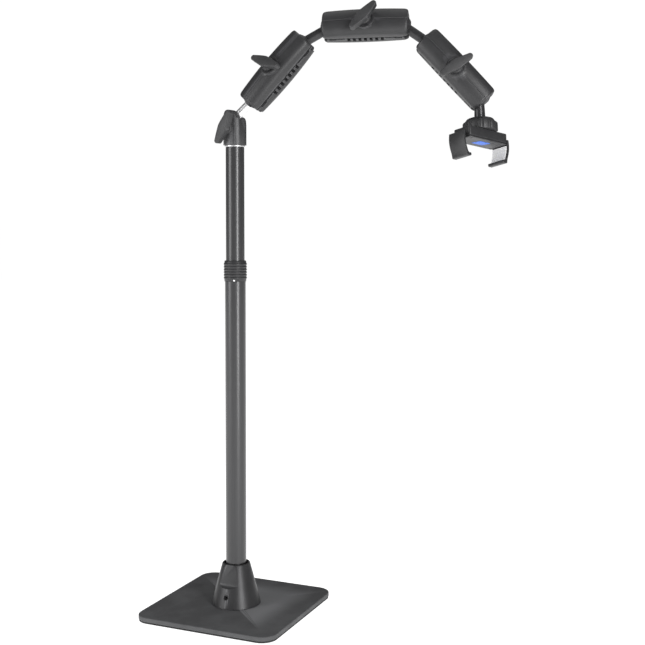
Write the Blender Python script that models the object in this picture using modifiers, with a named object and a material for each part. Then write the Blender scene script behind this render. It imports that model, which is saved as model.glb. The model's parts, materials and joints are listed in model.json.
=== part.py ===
"""Overhead phone stand: a weighted base, a two-stage pole with a twist lock, a clamp head,
three ball-socket arms joined by double-ball links, and a sprung phone holder. Metres, +Z up,
origin at the middle of the base's underside."""

import math

import bmesh
import bpy
from mathutils import Matrix, Vector

MM = 0.001
GAP = 0.3 * MM  # between touching pieces
RUN = 0.4 * MM  # between a moving piece and what holds it
SIDES = 32  # sides of a large round
SMALL_SIDES = 12  # sides of a screw, pin or rod
BALL_SIDES = 20
ROD_SIDES = 16

# Base
BASE_SIDE = 203 * MM
BASE_CORNER = 21 * MM
MAT_THICK = 2 * MM
MAT_INSET = 0.6 * MM
PLATE_THICK = 6 * MM
PLATE_EDGE = 0.9 * MM  # rounding of the plate's rim
RECESS_RADIUS = 11 * MM  # round the bolt's head, in the plate's underside
RECESS_DEPTH = 3.8 * MM
BOLT_RADIUS = 4 * MM
BOLT_HEAD_RADIUS = 7.2 * MM
BOLT_HEAD_THICK = 2.2 * MM
BOLT_REACH = 9 * MM  # into the pole socket
WASHER_RADIUS = 9.8 * MM
WASHER_THICK = 0.8 * MM

# Pole socket
SOCKET_BOTTOM_RADIUS = 33.75 * MM
SOCKET_TOP_RADIUS = 18.75 * MM
SOCKET_HEIGHT = 56 * MM
SOCKET_FLOOR = 12 * MM  # solid part under the tube
SOCKET_LIP = 2.2 * MM  # counterbore round the tube at the top
FACET_TOP_DEPTH = 17.4 * MM  # distance of the facet from the pole's axis, at the top
FACET_SLOPE = math.radians(9.4)
FACET_LEDGE = 25 * MM  # ledge's height over the plate
FACET_WIDTH = 34 * MM
SET_SCREW_RADIUS = 3 * MM
SET_SCREW_LENGTH = 12 * MM
SET_SCREW_HEIGHT = 15 * MM  # over the plate
SET_SCREW_SUNK = 1.2 * MM
KEY_RADIUS = 1.7 * MM  # hexagon key recess

# Pole
TUBE_RADIUS = 14 * MM
TUBE_WALL = 1 * MM
TUBE_TOP = 458 * MM
POLE_RADIUS = 12.5 * MM  # upper tube
POLE_WALL = 1.2 * MM
POLE_TOP = 630.2 * MM
POLE_LENGTH = 332 * MM
END_BUSH_LENGTH = 12 * MM
END_BUSH_PLUG = 8 * MM
COLLAR_BOTTOM = TUBE_TOP - 9 * MM
COLLAR_HEIGHT = 28 * MM
COLLAR_RADIUS = 15.7 * MM
COLLAR_LIP = 2.5 * MM
RIB_COUNT = 6
RIB_PITCH = 3.7 * MM
RIB_DEPTH = 0.8 * MM
COLLAR_CHAMFER = 1.6 * MM
LOCK_SLIT = 1.6 * MM
PIN_RADIUS = 1.3 * MM
PIN_PROUD = 0.9 * MM
PIN_TURN = math.radians(-82)  # round the pole, from the arc's plane

# The arc of arms lies in a vertical plane, turned this far from +X
ARC_TURN = math.radians(14)
HEAD_BALL_HEIGHT = POLE_TOP + 38.8 * MM  # centre of the lowest ball
SHAFT_LENGTH = 38.9 * MM  # between ball centres
ARM_LENGTH = 92 * MM  # between ball centres
LINK_LENGTH = 48.5 * MM  # between ball centres
NECK_LENGTH = 37.2 * MM  # between ball centres
SHAFT_ANGLE = math.radians(43.9)  # all angles are above the horizontal
ARM_ANGLES = [math.radians(a) for a in (48.6, 0.5, -47.0)]
LINK_ANGLES = [math.radians(a) for a in (28.2, -34.9)]
NECK_ANGLE = math.radians(-87.6)
ARM_ROLLS = [math.radians(a) for a in (31.0, 18.0, 9.0)]  # of the knob, to the arc's outside
KNOB_TURNS = [math.radians(a) for a in (-72.0, 49.0, 79.0)]  # of the wing, from the arm's axis
BEND_IN = math.radians(50)  # a rod's furthest lean in its socket, to the arc's inside
BEND_OUT = math.radians(24)

# Balls and rods
BALL_RADIUS = 12.7 * MM
SMALL_BALL_RADIUS = 8 * MM
HOLDER_BALL_RADIUS = 10 * MM
SHAFT_RADIUS = 5.5 * MM
ROD_RADIUS = 6.5 * MM
NECK_FLARE = 7.2 * MM  # neck's radius over the holder's ball
SOCKET_CLEAR = 0.6 * MM

# Clamp head
RING_RADIUS = 13.6 * MM
RING_THICK = 1.9 * MM
HEAD_RADIUS = 15.5 * MM
HEAD_TURN = math.radians(24)  # knob, to the left of the arc plane's normal
HEAD_DOME = 10.5 * MM
HEAD_SLOT = 2 * MM
HEAD_SLOT_BACK = 3.2 * MM  # slot's middle, behind the ball's centre
REAR_DROP = 8 * MM  # rear jaw, lower than the front one
SPIGOT_LENGTH = 22 * MM
KEY_HEIGHT = 3 * MM  # of the part of the spigot inside the front jaw
HEAD_BOLT_RADIUS = 2.5 * MM
HEAD_BOLT_DROP = 13.2 * MM  # under the ball's centre
HEAD_BOLT_SEAT = 2.6 * MM  # depth of the recess for the bolt's head
HEAD_BOLT_HEAD = 5 * MM
HEAD_BOLT_HEAD_THICK = 2 * MM
HEAD_KNOB_TURN = math.radians(62)
FOLD_DOWN = math.radians(14)  # of the shaft, from where it stands
FOLD_UP = math.radians(38)

# Arm shells
ARM_HALF_WIDTH = 18.5 * MM
SHOULDER = 10.5 * MM  # flat end, past the ball's centre
SHOULDER_WIDTH = 15.6 * MM
NOSE_WALL = 1.8 * MM
CORNER_LENGTH = 5.5 * MM
PARTING = 1.6 * MM  # between the two shells
FRONT_END_HEIGHT = 16 * MM
FRONT_MID_HEIGHT = 19.2 * MM
WALL_END_HEIGHT = 5 * MM
WALL_MID_HEIGHT = 9 * MM
REAR_END_DEPTH = 15.6 * MM
REAR_MID_DEPTH = 20 * MM
BARREL_POWER = 2.0
RIB_SLOTS = 7
SLOT_PITCH = 7.4 * MM
SLOT_WIDTH = 3.8 * MM
SLOT_DEPTH = 4 * MM
SLOT_HEIGHT = 7.5 * MM
BOSS_RADIUS = 13 * MM
BOSS_PROUD = 0.5 * MM
ARM_BOLT_RADIUS = 2.5 * MM
ARM_BOLT_HEAD = 4.6 * MM
ARM_BOLT_HEAD_THICK = 3 * MM
SPRING_RADIUS = 4.4 * MM
SPRING_WIRE = 0.6 * MM
SPRING_TURNS = 4
SPRING_LENGTH = 11 * MM

# Wing knobs
WING_LENGTH = 48 * MM
WING_WIDTH = 14.5 * MM
WING_TIP = 3.8 * MM  # radius of a tip
WING_HEIGHT = 8 * MM
WING_RISE = 3.2 * MM  # underside at the tips, over the hub's underside
HUB_RADIUS = 9 * MM
HUB_HEIGHT = 4.8 * MM
KNOB_BORE_SPARE = 2 * MM  # bore past the bolt's end
WING_WAIST = 0.16  # share of the length, from the middle to where the wing starts to narrow
WING_WAIST_WIDTH = 0.86  # share of the full width there
WING_BEVEL = 1.2 * MM

# Phone holder, in its own frame: X along the jaws' travel, Z out of its face
HOLDER_NORMAL = Vector((0.10, -0.19, -0.976)).normalized()
HOLDER_LONG = Vector((0.476, 0.871, -0.12))
NUT_TOP = -6.4 * MM
NUT_BOTTOM = 10.5 * MM
NUT_RADIUS = 20.5 * MM
NUT_DOME_RADIUS = 13 * MM
NUT_LIP = 3.7 * MM
LOBE_COUNT = 8
LOBE_RADIUS = 4.2 * MM
LOBE_TOP = -3 * MM
CUP_RADIUS = 13 * MM
CUP_RISE = 2.4 * MM  # towards the neck, from the ball's centre
CUP_FALL = 4.6 * MM
CUP_SLIT = 1.4 * MM
BODY_LENGTH = 70 * MM
BODY_WIDTH = 29 * MM
BODY_THICK = 12.5 * MM
BODY_CORNER = 3 * MM
COVER_THICK = 2 * MM
PAD_LENGTH = 19 * MM
PAD_WIDTH = 12 * MM
PAD_SLANT = 4 * MM
PAD_PROUD = 0.3 * MM
PAD_SUNK = 0.8 * MM
SPRING_MARGIN = 0.7 * MM  # between the tongue and the jaw spring, whose bore opens into its channel
CHANNEL_STOP = 6 * MM  # end of the sliding tongue's channel, from the body's right end
SOCKET_REACH = 4 * MM  # depth of the fixed tongue's socket in that end
JAW_WIDTH = 27 * MM
JAW_REST = 6 * MM  # between the body and the left jaw at its inner stop
JAW_THICK = 3 * MM
JAW_DEPTH = 32 * MM
JAW_BOW = 1.2 * MM  # how far the jaw's middle bows outwards
JAW_LEAN = 4 * MM  # how far its foot leans inwards
HOOK_REACH = 5 * MM
TONGUE_WIDTH = 14 * MM
TONGUE_THICK = 3 * MM
TONGUE_LENGTH = 44 * MM
TONGUE_DEPTH = 7.5 * MM  # of the tongue's top and the jaw plate's, under the body's top
SCREW_INSET = (6 * MM, 4 * MM)  # of a cover screw from the body's end and side
JAW_PAD_THICK = 1 * MM
JAW_PAD_HEIGHT = 20 * MM
JAW_PAD_MARGIN = 1.5 * MM  # of the jaw, left bare along each side of the pad
JAW_SPRING_RADIUS = 1.7 * MM
JAW_SPRING_WIRE = 0.35 * MM
JAW_SPRING_TURNS = 10
JAW_SPRING_LENGTH = 30 * MM
COVER_SCREW_RADIUS = 1.5 * MM
COVER_SCREW_LENGTH = 6 * MM
COVER_SCREW_SUNK = 0.4 * MM

PLATE_TOP = MAT_THICK + PLATE_THICK
ARC_RIGHT = Vector((math.cos(ARC_TURN), math.sin(ARC_TURN), 0))
UP = Vector((0, 0, 1))
ARC_NORMAL = ARC_RIGHT.cross(UP)

PARTS = bpy.data.collections.new("overhead_phone_stand")
CUTTERS = bpy.data.collections.new("cutters")


# Scene and materials


def clear_scene():
    for old in list(bpy.data.objects):
        bpy.data.objects.remove(old, do_unlink=True)
    bpy.context.scene.collection.children.link(PARTS)
    bpy.context.scene.collection.children.link(CUTTERS)


def material(name, colour, roughness, metallic):
    made = bpy.data.materials.new(name)
    made.use_nodes = True
    shader = made.node_tree.nodes["Principled BSDF"]
    shader.inputs["Base Color"].default_value = (*colour, 1)
    shader.inputs["Roughness"].default_value = roughness
    shader.inputs["Metallic"].default_value = metallic
    return made


def make_materials():
    return {
        "coat": material("powder_coat", (0.055, 0.057, 0.06), 0.6, 0.0),
        "cast": material("cast_metal", (0.08, 0.08, 0.082), 0.45, 0.7),
        "tube": material("tube_enamel", (0.05, 0.05, 0.053), 0.3, 0.6),
        "plastic": material("arm_plastic", (0.06, 0.06, 0.063), 0.5, 0.0),
        "knob": material("knob_plastic", (0.07, 0.07, 0.073), 0.55, 0.0),
        "rod": material("rod_metal", (0.08, 0.08, 0.083), 0.35, 0.6),
        "steel": material("bright_steel", (0.8, 0.8, 0.8), 0.2, 1.0),
        "rubber": material("mat_rubber", (0.02, 0.02, 0.02), 0.85, 0.0),
        "silver": material("silver_pad", (0.6, 0.6, 0.61), 0.45, 0.2),
        "blue": material("blue_pad", (0.04, 0.15, 0.75), 0.5, 0.0),
    }


# Building blocks. Each gives an object in its own frame, at the world's origin.


def place(obj, frame):
    """Puts an object in a frame: a 4 x 4 matrix, or an empty that it is parented to."""
    if isinstance(frame, bpy.types.Object):
        obj.parent = frame
        return obj
    obj.matrix_world = frame
    return obj


def new_object(name, mesh, cutter=False):
    obj = bpy.data.objects.new(name, mesh)
    (CUTTERS if cutter else PARTS).objects.link(obj)
    if cutter:
        obj.hide_render = True
        obj.display_type = "WIRE"
    return obj


def from_bmesh(name, bm, cutter=False):
    bmesh.ops.recalc_face_normals(bm, faces=bm.faces)
    mesh = bpy.data.meshes.new(name)
    bm.to_mesh(mesh)
    bm.free()
    return new_object(name, mesh, cutter)


def cylinder(name, radius, low, high, axis="Z", sides=SIDES, top_radius=None, cutter=False):
    """A cylinder or cone between two heights along an axis."""
    bm = bmesh.new()
    top = radius if top_radius is None else top_radius
    turn = {
        "X": Matrix.Rotation(math.radians(90), 4, "Y"),
        "Y": Matrix.Rotation(math.radians(-90), 4, "X"),
        "Z": Matrix(),
    }[axis]
    matrix = turn @ Matrix.Translation((0, 0, (low + high) / 2))
    bmesh.ops.create_cone(
        bm, cap_ends=True, segments=sides, radius1=radius, radius2=top, depth=high - low, matrix=matrix
    )
    return from_bmesh(name, bm, cutter)


def box(name, low, high, cutter=False):
    bm = bmesh.new()
    size = Vector(high) - Vector(low)
    middle = (Vector(high) + Vector(low)) / 2
    bmesh.ops.create_cube(bm, size=1, matrix=Matrix.Translation(middle) @ Matrix.Diagonal((*size, 1)))
    return from_bmesh(name, bm, cutter)


def ball(name, radius, centre=(0, 0, 0), sides=BALL_SIDES, cutter=False):
    bm = bmesh.new()
    bmesh.ops.create_uvsphere(
        bm, u_segments=sides, v_segments=sides // 2, radius=radius, matrix=Matrix.Translation(centre)
    )
    return from_bmesh(name, bm, cutter)


def prism(name, outline, low, high, cutter=False):
    """An outline of (x, y) points, anticlockwise, raised from low to high along Z."""
    bm = bmesh.new()
    floor = [bm.verts.new((x, y, low)) for x, y in outline]
    face = bm.faces.new(floor)
    raised = bmesh.ops.extrude_face_region(bm, geom=[face])
    moved = [v for v in raised["geom"] if isinstance(v, bmesh.types.BMVert)]
    bmesh.ops.translate(bm, verts=moved, vec=(0, 0, high - low))
    return from_bmesh(name, bm, cutter)


def turned(name, profile, sides=SIDES, cutter=False):
    """A closed profile of (radius, height) points, turned round Z by a Screw modifier."""
    bm = bmesh.new()
    points = [bm.verts.new((r, 0, z)) for r, z in profile]
    closed = min(r for r, z in profile) > 0
    pairs = zip(points, points[1:] + points[:1]) if closed else zip(points, points[1:])
    for a, b in pairs:
        bm.edges.new((a, b))
    mesh = bpy.data.meshes.new(name)
    bm.to_mesh(mesh)
    bm.free()
    obj = new_object(name, mesh, cutter)
    screw = obj.modifiers.new("turn", "SCREW")
    screw.axis = "Z"
    screw.steps = sides
    screw.render_steps = sides
    screw.use_merge_vertices = True
    screw.merge_threshold = 0.01 * MM
    return obj


def loft(name, sections, cutter=False):
    """Rings of equal length, skinned in order and capped at both ends."""
    bm = bmesh.new()
    rings = [[bm.verts.new(point) for point in ring] for ring in sections]
    for ring, after in zip(rings, rings[1:]):
        for i in range(len(ring)):
            j = (i + 1) % len(ring)
            bm.faces.new((ring[i], ring[j], after[j], after[i]))
    bm.faces.new(rings[0])
    bm.faces.new(rings[-1])
    return from_bmesh(name, bm, cutter)


def coil(name, radius, wire, turns, length):
    """A spring along Z, centred on the origin, as a bevelled curve made into a mesh."""
    curve = bpy.data.curves.new(name, "CURVE")
    curve.dimensions = "3D"
    curve.bevel_depth = wire
    curve.bevel_resolution = 0
    curve.use_fill_caps = True
    steps = turns * 8
    spline = curve.splines.new("POLY")
    spline.points.add(steps)
    for i, point in enumerate(spline.points):
        turn = 2 * math.pi * i * turns / steps
        height = length * (i / steps - 0.5)
        point.co = (radius * math.cos(turn), radius * math.sin(turn), height, 1)
    shape = bpy.data.objects.new(name + "_curve", curve)
    PARTS.objects.link(shape)
    bpy.context.view_layer.update()
    solid = bpy.data.meshes.new_from_object(shape.evaluated_get(bpy.context.evaluated_depsgraph_get()))
    bpy.data.objects.remove(shape)
    bm = bmesh.new()
    bm.from_mesh(solid)
    bpy.data.meshes.remove(solid)
    bmesh.ops.remove_doubles(bm, verts=bm.verts, dist=0.01 * MM)
    return from_bmesh(name, bm)


def boolean(obj, tool, operation="DIFFERENCE"):
    step = obj.modifiers.new(tool.name, "BOOLEAN")
    step.operation = operation
    step.solver = "EXACT"
    step.object = tool
    return obj


def cut(obj, *tools):
    """Takes all the tools away in one step, which leaves no slivers between steps."""
    group = bpy.data.collections.new(obj.name + "_cutters")
    CUTTERS.children.link(group)
    for tool in tools:
        group.objects.link(tool)
    step = obj.modifiers.new("cut", "BOOLEAN")
    step.solver = "EXACT"
    step.operation = "DIFFERENCE"
    step.operand_type = "COLLECTION"
    step.collection = group
    return obj


def join(obj, *tools):
    for tool in tools:
        boolean(obj, tool, "UNION")
    return obj


def bevel(obj, width, segments=2, angle=math.radians(40)):
    step = obj.modifiers.new("bevel", "BEVEL")
    step.width = width
    step.segments = segments
    step.limit_method = "ANGLE"
    step.angle_limit = angle
    return obj


def finish(obj, look, frame=None):
    """Gives a piece its material, its place and its shading."""
    obj.data.materials.append(look)
    obj.data.shade_smooth()
    obj.data.set_sharp_from_angle(angle=math.radians(35))
    if frame is not None:
        place(obj, frame)
    return obj


def arc(centre, radius, start, end, steps):
    """Points along an arc, with both ends."""
    turns = [start + (end - start) * i / steps for i in range(steps + 1)]
    return [(centre[0] + radius * math.cos(t), centre[1] + radius * math.sin(t)) for t in turns]


def rounded_square(side, corner, steps=6):
    reach = side / 2 - corner
    centres = [(reach, reach), (-reach, reach), (-reach, -reach), (reach, -reach)]
    outline = []
    for i, centre in enumerate(centres):
        outline += arc(centre, corner, i * math.pi / 2, (i + 1) * math.pi / 2, steps)
    return outline


def empty(name, origin, x_axis, z_axis):
    """An empty at a joint, whose X and Z follow the given directions."""
    z = z_axis.normalized()
    x = (x_axis - z * x_axis.dot(z)).normalized()
    y = z.cross(x)
    made = bpy.data.objects.new(name, None)
    PARTS.objects.link(made)
    turn = Matrix((x, y, z)).transposed().to_4x4()
    made.matrix_world = Matrix.Translation(origin) @ turn
    made.empty_display_size = 0.01
    return made


def along(angle):
    """A direction in the arc's plane, at an angle above the horizontal."""
    return ARC_RIGHT * math.cos(angle) + UP * math.sin(angle)


# Base and pole


def base(looks):
    plate = prism("base_plate", rounded_square(BASE_SIDE, BASE_CORNER), MAT_THICK, PLATE_TOP)
    bevel(plate, PLATE_EDGE)
    recess = cylinder("plate_recess", RECESS_RADIUS, 0, MAT_THICK + RECESS_DEPTH, cutter=True)
    hole = cylinder("plate_hole", BOLT_RADIUS + GAP, 0, PLATE_TOP + MM, sides=SMALL_SIDES, cutter=True)
    finish(cut(plate, recess, hole), looks["coat"])
    side = BASE_SIDE - 2 * MAT_INSET
    mat = prism("base_mat", rounded_square(side, BASE_CORNER - MAT_INSET), 0, MAT_THICK - GAP)
    finish(mat, looks["rubber"])
    seat = MAT_THICK + RECESS_DEPTH - GAP
    washer_low = seat - WASHER_THICK
    washer = cylinder("base_washer", WASHER_RADIUS, washer_low, seat, sides=SMALL_SIDES)
    bore = cylinder("washer_hole", BOLT_RADIUS + GAP, 0, PLATE_TOP, sides=SMALL_SIDES, cutter=True)
    finish(cut(washer, bore), looks["steel"])
    head_top = washer_low - GAP
    head_low = head_top - BOLT_HEAD_THICK
    head = cylinder("base_bolt", BOLT_HEAD_RADIUS, head_low, head_top, sides=6)
    shank_top = PLATE_TOP + BOLT_REACH
    shank = cylinder("bolt_shank", BOLT_RADIUS, head_top - MM, shank_top, sides=SMALL_SIDES, cutter=True)
    finish(join(head, shank), looks["steel"])


def pole_socket(looks):
    low = PLATE_TOP + GAP
    top = PLATE_TOP + SOCKET_HEIGHT
    socket = cylinder("pole_socket", SOCKET_BOTTOM_RADIUS, low, top, top_radius=SOCKET_TOP_RADIUS)
    floor = PLATE_TOP + SOCKET_FLOOR
    bore = cylinder("socket_bore", TUBE_RADIUS + GAP, floor, top + MM, cutter=True)
    lip_radius = TUBE_RADIUS + SOCKET_LIP
    lip = cylinder("socket_lip", lip_radius, top - 2 * SOCKET_LIP, top + MM, cutter=True)
    blind_top = PLATE_TOP + BOLT_REACH + GAP
    blind = cylinder("socket_thread", BOLT_RADIUS + GAP, 0, blind_top, sides=SMALL_SIDES, cutter=True)
    half = FACET_WIDTH / 2
    facet = box("socket_facet", (-half, -FACET_WIDTH, 0), (half, 0, SOCKET_HEIGHT), True)
    ledge = PLATE_TOP + FACET_LEDGE
    depth = FACET_TOP_DEPTH + (top - ledge) * math.tan(FACET_SLOPE)
    facet.matrix_world = Matrix.Translation((0, -depth, ledge)) @ Matrix.Rotation(-FACET_SLOPE, 4, "X")
    screw_hole = cylinder(
        "screw_hole", SET_SCREW_RADIUS + GAP, -SOCKET_BOTTOM_RADIUS, -TUBE_RADIUS, "Y", SMALL_SIDES,
        cutter=True,
    )
    screw_hole.location.z = PLATE_TOP + SET_SCREW_HEIGHT
    finish(cut(socket, bore, lip, blind, facet, screw_hole), looks["cast"])
    slope = (SOCKET_BOTTOM_RADIUS - SOCKET_TOP_RADIUS) / SOCKET_HEIGHT
    reach = SOCKET_BOTTOM_RADIUS - slope * SET_SCREW_HEIGHT - SET_SCREW_SUNK
    inner = max(reach - SET_SCREW_LENGTH, TUBE_RADIUS + GAP)
    screw = cylinder("set_screw", SET_SCREW_RADIUS, -reach, -inner, "Y", SMALL_SIDES)
    key = cylinder("screw_key", KEY_RADIUS, -reach - MM, -reach + 2 * KEY_RADIUS, "Y", 6, cutter=True)
    key.location.z = PLATE_TOP + SET_SCREW_HEIGHT
    finish(cut(screw, key), looks["steel"], Matrix.Translation((0, 0, PLATE_TOP + SET_SCREW_HEIGHT)))


def pipe(name, outer, inner, low, high):
    return turned(name, [(outer, high), (outer, low), (inner, low), (inner, high)])


def lower_pole(looks):
    low = PLATE_TOP + SOCKET_FLOOR + GAP
    finish(pipe("lower_tube", TUBE_RADIUS, TUBE_RADIUS - TUBE_WALL, low, TUBE_TOP), looks["tube"])
    inner = POLE_RADIUS + RUN
    top = COLLAR_BOTTOM + COLLAR_HEIGHT - COLLAR_LIP - GAP
    bush = pipe("lock_bush", TUBE_RADIUS, inner, TUBE_TOP + GAP, top)
    slit = box("bush_slit", (0, -LOCK_SLIT / 2, TUBE_TOP), (2 * TUBE_RADIUS, LOCK_SLIT / 2, top + MM), True)
    finish(cut(bush, slit), looks["plastic"])


def collar_profile():
    """Outside top to bottom with its ribs, then the bore back up, with the lip at the top."""
    low, top = COLLAR_BOTTOM, COLLAR_BOTTOM + COLLAR_HEIGHT
    outer, bore, lip = COLLAR_RADIUS, TUBE_RADIUS + RUN, POLE_RADIUS + RUN
    profile = [(outer - COLLAR_CHAMFER, top), (outer - RIB_DEPTH, top - COLLAR_CHAMFER)]
    first = (low + top) / 2 + (RIB_COUNT - 1) / 2 * RIB_PITCH
    for i in range(RIB_COUNT):
        middle = first - i * RIB_PITCH
        profile += [(outer - RIB_DEPTH, middle + 0.4 * RIB_PITCH), (outer, middle + 0.16 * RIB_PITCH)]
        profile += [(outer, middle - 0.16 * RIB_PITCH), (outer - RIB_DEPTH, middle - 0.4 * RIB_PITCH)]
    foot = outer - 0.8 * COLLAR_CHAMFER
    profile += [(outer - RIB_DEPTH, low + COLLAR_CHAMFER), (foot, low), (bore, low)]
    profile += [(bore, top - COLLAR_LIP), (lip, top - COLLAR_LIP), (lip, top)]
    return profile


def twist_collar(looks):
    collar = turned("twist_collar", collar_profile(), 24)
    height = COLLAR_BOTTOM + COLLAR_CHAMFER
    inner, outer = TUBE_RADIUS + RUN, COLLAR_RADIUS + PIN_PROUD
    hole = cylinder("pin_hole", PIN_RADIUS + GAP, inner - MM, outer + MM, "X", SMALL_SIDES, cutter=True)
    turn = Matrix.Translation((0, 0, height)) @ Matrix.Rotation(ARC_TURN + PIN_TURN, 4, "Z")
    place(hole, turn)
    finish(cut(collar, hole), looks["plastic"])
    pin = cylinder("collar_pin", PIN_RADIUS, inner + GAP, outer, "X", SMALL_SIDES)
    finish(pin, looks["steel"], turn)


def upper_pole(looks):
    bore = POLE_RADIUS - POLE_WALL
    low = POLE_TOP - POLE_LENGTH
    finish(pipe("upper_tube", POLE_RADIUS, bore, low, POLE_TOP), looks["tube"])
    outer, plug = TUBE_RADIUS - TUBE_WALL - GAP, bore - GAP
    seat = low - GAP
    bottom, top = seat - END_BUSH_LENGTH, seat + END_BUSH_PLUG
    profile = [(plug, top), (plug, seat), (outer, seat), (outer, bottom)]
    profile += [(plug - 2 * MM, bottom), (plug - 2 * MM, top)]
    finish(turned("tube_end_bush", profile), looks["plastic"])


# Rods with balls


def ball_rod(name, length, low_ball, high_ball, low_radius, high_radius):
    """A rod along X between two ball centres."""
    rod = cylinder(name, low_radius, 0, length, "X", ROD_SIDES, top_radius=high_radius)
    first = ball(name + "_ball_a", low_ball, cutter=True)
    second = ball(name + "_ball_b", high_ball, (length, 0, 0), cutter=True)
    return join(rod, first, second), (first, second)


def rod_piece(name, frame, look, *sizes):
    rod, balls = ball_rod(name, *sizes)
    for one in balls:
        one.parent = frame
    return finish(rod, look, frame)


def fan(name, radius, reach, low, high):
    """The space that a rod of this radius sweeps about Z, between two angles from +X."""
    quarter = math.pi / 2
    outline = arc((0, 0), radius, high + quarter, low + 3 * quarter, 6)
    for turn, side in ((low, -quarter), (high, quarter)):
        tip = (reach * math.cos(turn), reach * math.sin(turn))
        outline += arc(tip, radius, turn + side, turn + side, 1)[:1]
        middle = arc((0, 0), reach + radius, low, high, 6)
        outline += middle if turn == low else []
    return prism(name, outline, -radius, radius, True)


# Clamp head, in a frame with Z up and Y along the knob's axis


def head_jaw(name, side, top, frame):
    """Half of the head, on one side of the slot, with a domed top of the given height."""
    low = POLE_TOP + 2 * GAP + RING_THICK - HEAD_BALL_HEIGHT
    wide = 2 * HEAD_RADIUS
    jaw = cylinder(name, HEAD_RADIUS, low, top)
    dome = cylinder(name + "_dome", HEAD_DOME, -wide, wide, "Y", cutter=True)
    dome.location.z = top - HEAD_DOME
    skirt = box(name + "_skirt", (-wide, -wide, low - MM), (wide, wide, 0), True)
    skirt.location.z = top - HEAD_DOME
    skirt.parent = frame
    dome.parent = frame
    join(dome, skirt)
    boolean(jaw, dome, "INTERSECT")
    ends = sorted((-side * wide, side * HEAD_SLOT / 2 - HEAD_SLOT_BACK))
    half = box(name + "_half", (-wide, ends[0], low - MM), (wide, ends[1], top + MM), True)
    half.parent = frame
    return cut(jaw, half)


def clamp_head(looks):
    knob_axis = ARC_NORMAL * math.cos(HEAD_TURN) - ARC_RIGHT * math.sin(HEAD_TURN)
    centre = UP * HEAD_BALL_HEIGHT
    across = knob_axis.cross(UP)
    frame = empty("head_frame", centre, across, UP)
    swing = empty("shaft_frame", centre, along(SHAFT_ANGLE), ARC_NORMAL)
    ring_low = POLE_TOP + GAP
    ring_bore = POLE_RADIUS - POLE_WALL
    ring = pipe("head_ring", RING_RADIUS, ring_bore, ring_low, ring_low + RING_THICK)
    finish(ring, looks["steel"])
    top = HEAD_DOME
    front = head_jaw("head_front_jaw", 1, top, frame)
    rear = head_jaw("head_rear_jaw", -1, top - REAR_DROP, frame)
    low = ring_low - HEAD_BALL_HEIGHT
    foot = POLE_TOP + 2 * GAP + RING_THICK - HEAD_BALL_HEIGHT
    spigot = cylinder("head_spigot", ring_bore - RUN, low - SPIGOT_LENGTH, foot - GAP, cutter=True)
    wide = 2 * HEAD_RADIUS
    key = cylinder("head_key", ring_bore - RUN, foot - MM, foot + KEY_HEIGHT, cutter=True)
    key_end = foot + KEY_HEIGHT + MM
    key_half = box("head_key_half", (-wide, -wide, foot - GAP), (wide, HEAD_SLOT, key_end), True)
    cut(key, key_half)
    pocket = ball("head_pocket", SMALL_BALL_RADIUS + SOCKET_CLEAR, cutter=True)
    sweep = fan("head_sweep", SHAFT_RADIUS + SOCKET_CLEAR, 3 * HEAD_RADIUS, -FOLD_DOWN, FOLD_UP)
    sweep.parent = swing
    bolt_height = -HEAD_BOLT_DROP
    bore = cylinder("head_bore", HEAD_BOLT_RADIUS + RUN, -wide, wide, "Y", SMALL_SIDES, cutter=True)
    bore.location.z = bolt_height
    seat = HEAD_BOLT_SEAT - HEAD_RADIUS
    recess = cylinder("head_recess", HEAD_BOLT_HEAD + RUN, -wide, seat, "Y", SMALL_SIDES, cutter=True)
    recess.location.z = bolt_height
    for tool in (spigot, key, key_half, pocket, bore, recess):
        tool.parent = frame
    join(front, spigot, key)
    cut(front, pocket, bore, sweep)
    cut(rear, pocket, bore, recess, sweep)
    finish(front, looks["cast"], frame)
    finish(rear, looks["cast"], frame)
    knob_low = HEAD_RADIUS + GAP
    bolt_low = seat - HEAD_BOLT_HEAD_THICK
    bolt = cylinder("head_bolt", HEAD_BOLT_RADIUS, bolt_low, knob_low + HUB_HEIGHT, "Y", SMALL_SIDES)
    head = cylinder("head_bolt_head", HEAD_BOLT_HEAD, bolt_low, seat - GAP, "Y", 6, cutter=True)
    join(bolt, head)
    spot = empty("head_knob_frame", centre + UP * bolt_height + knob_axis * knob_low, across, knob_axis)
    line = empty("head_bolt_frame", centre + UP * bolt_height, across, UP)
    head.parent = line
    finish(bolt, looks["steel"], line)
    wing_knob("head_knob", spot, HEAD_KNOB_TURN, HEAD_BOLT_RADIUS, looks)
    sizes = (SHAFT_LENGTH, SMALL_BALL_RADIUS, BALL_RADIUS, SHAFT_RADIUS, SHAFT_RADIUS)
    rod_piece("head_shaft", swing, looks["steel"], *sizes)


def wing_outline():
    """A leaf: full width at the middle, straight to a round tip at each end."""
    tip = WING_LENGTH / 2 - WING_TIP
    right = arc((tip, 0), WING_TIP, math.radians(-70), math.radians(70), 4)
    middle = WING_WIDTH / 2
    waist_x, waist_y = WING_WAIST * WING_LENGTH, WING_WAIST_WIDTH * middle
    top = [(waist_x, waist_y), (0, middle), (-waist_x, waist_y)]
    left = [(-x, -y) for x, y in right]
    bottom = [(-x, -y) for x, y in top]
    return right + top + left + bottom


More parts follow.
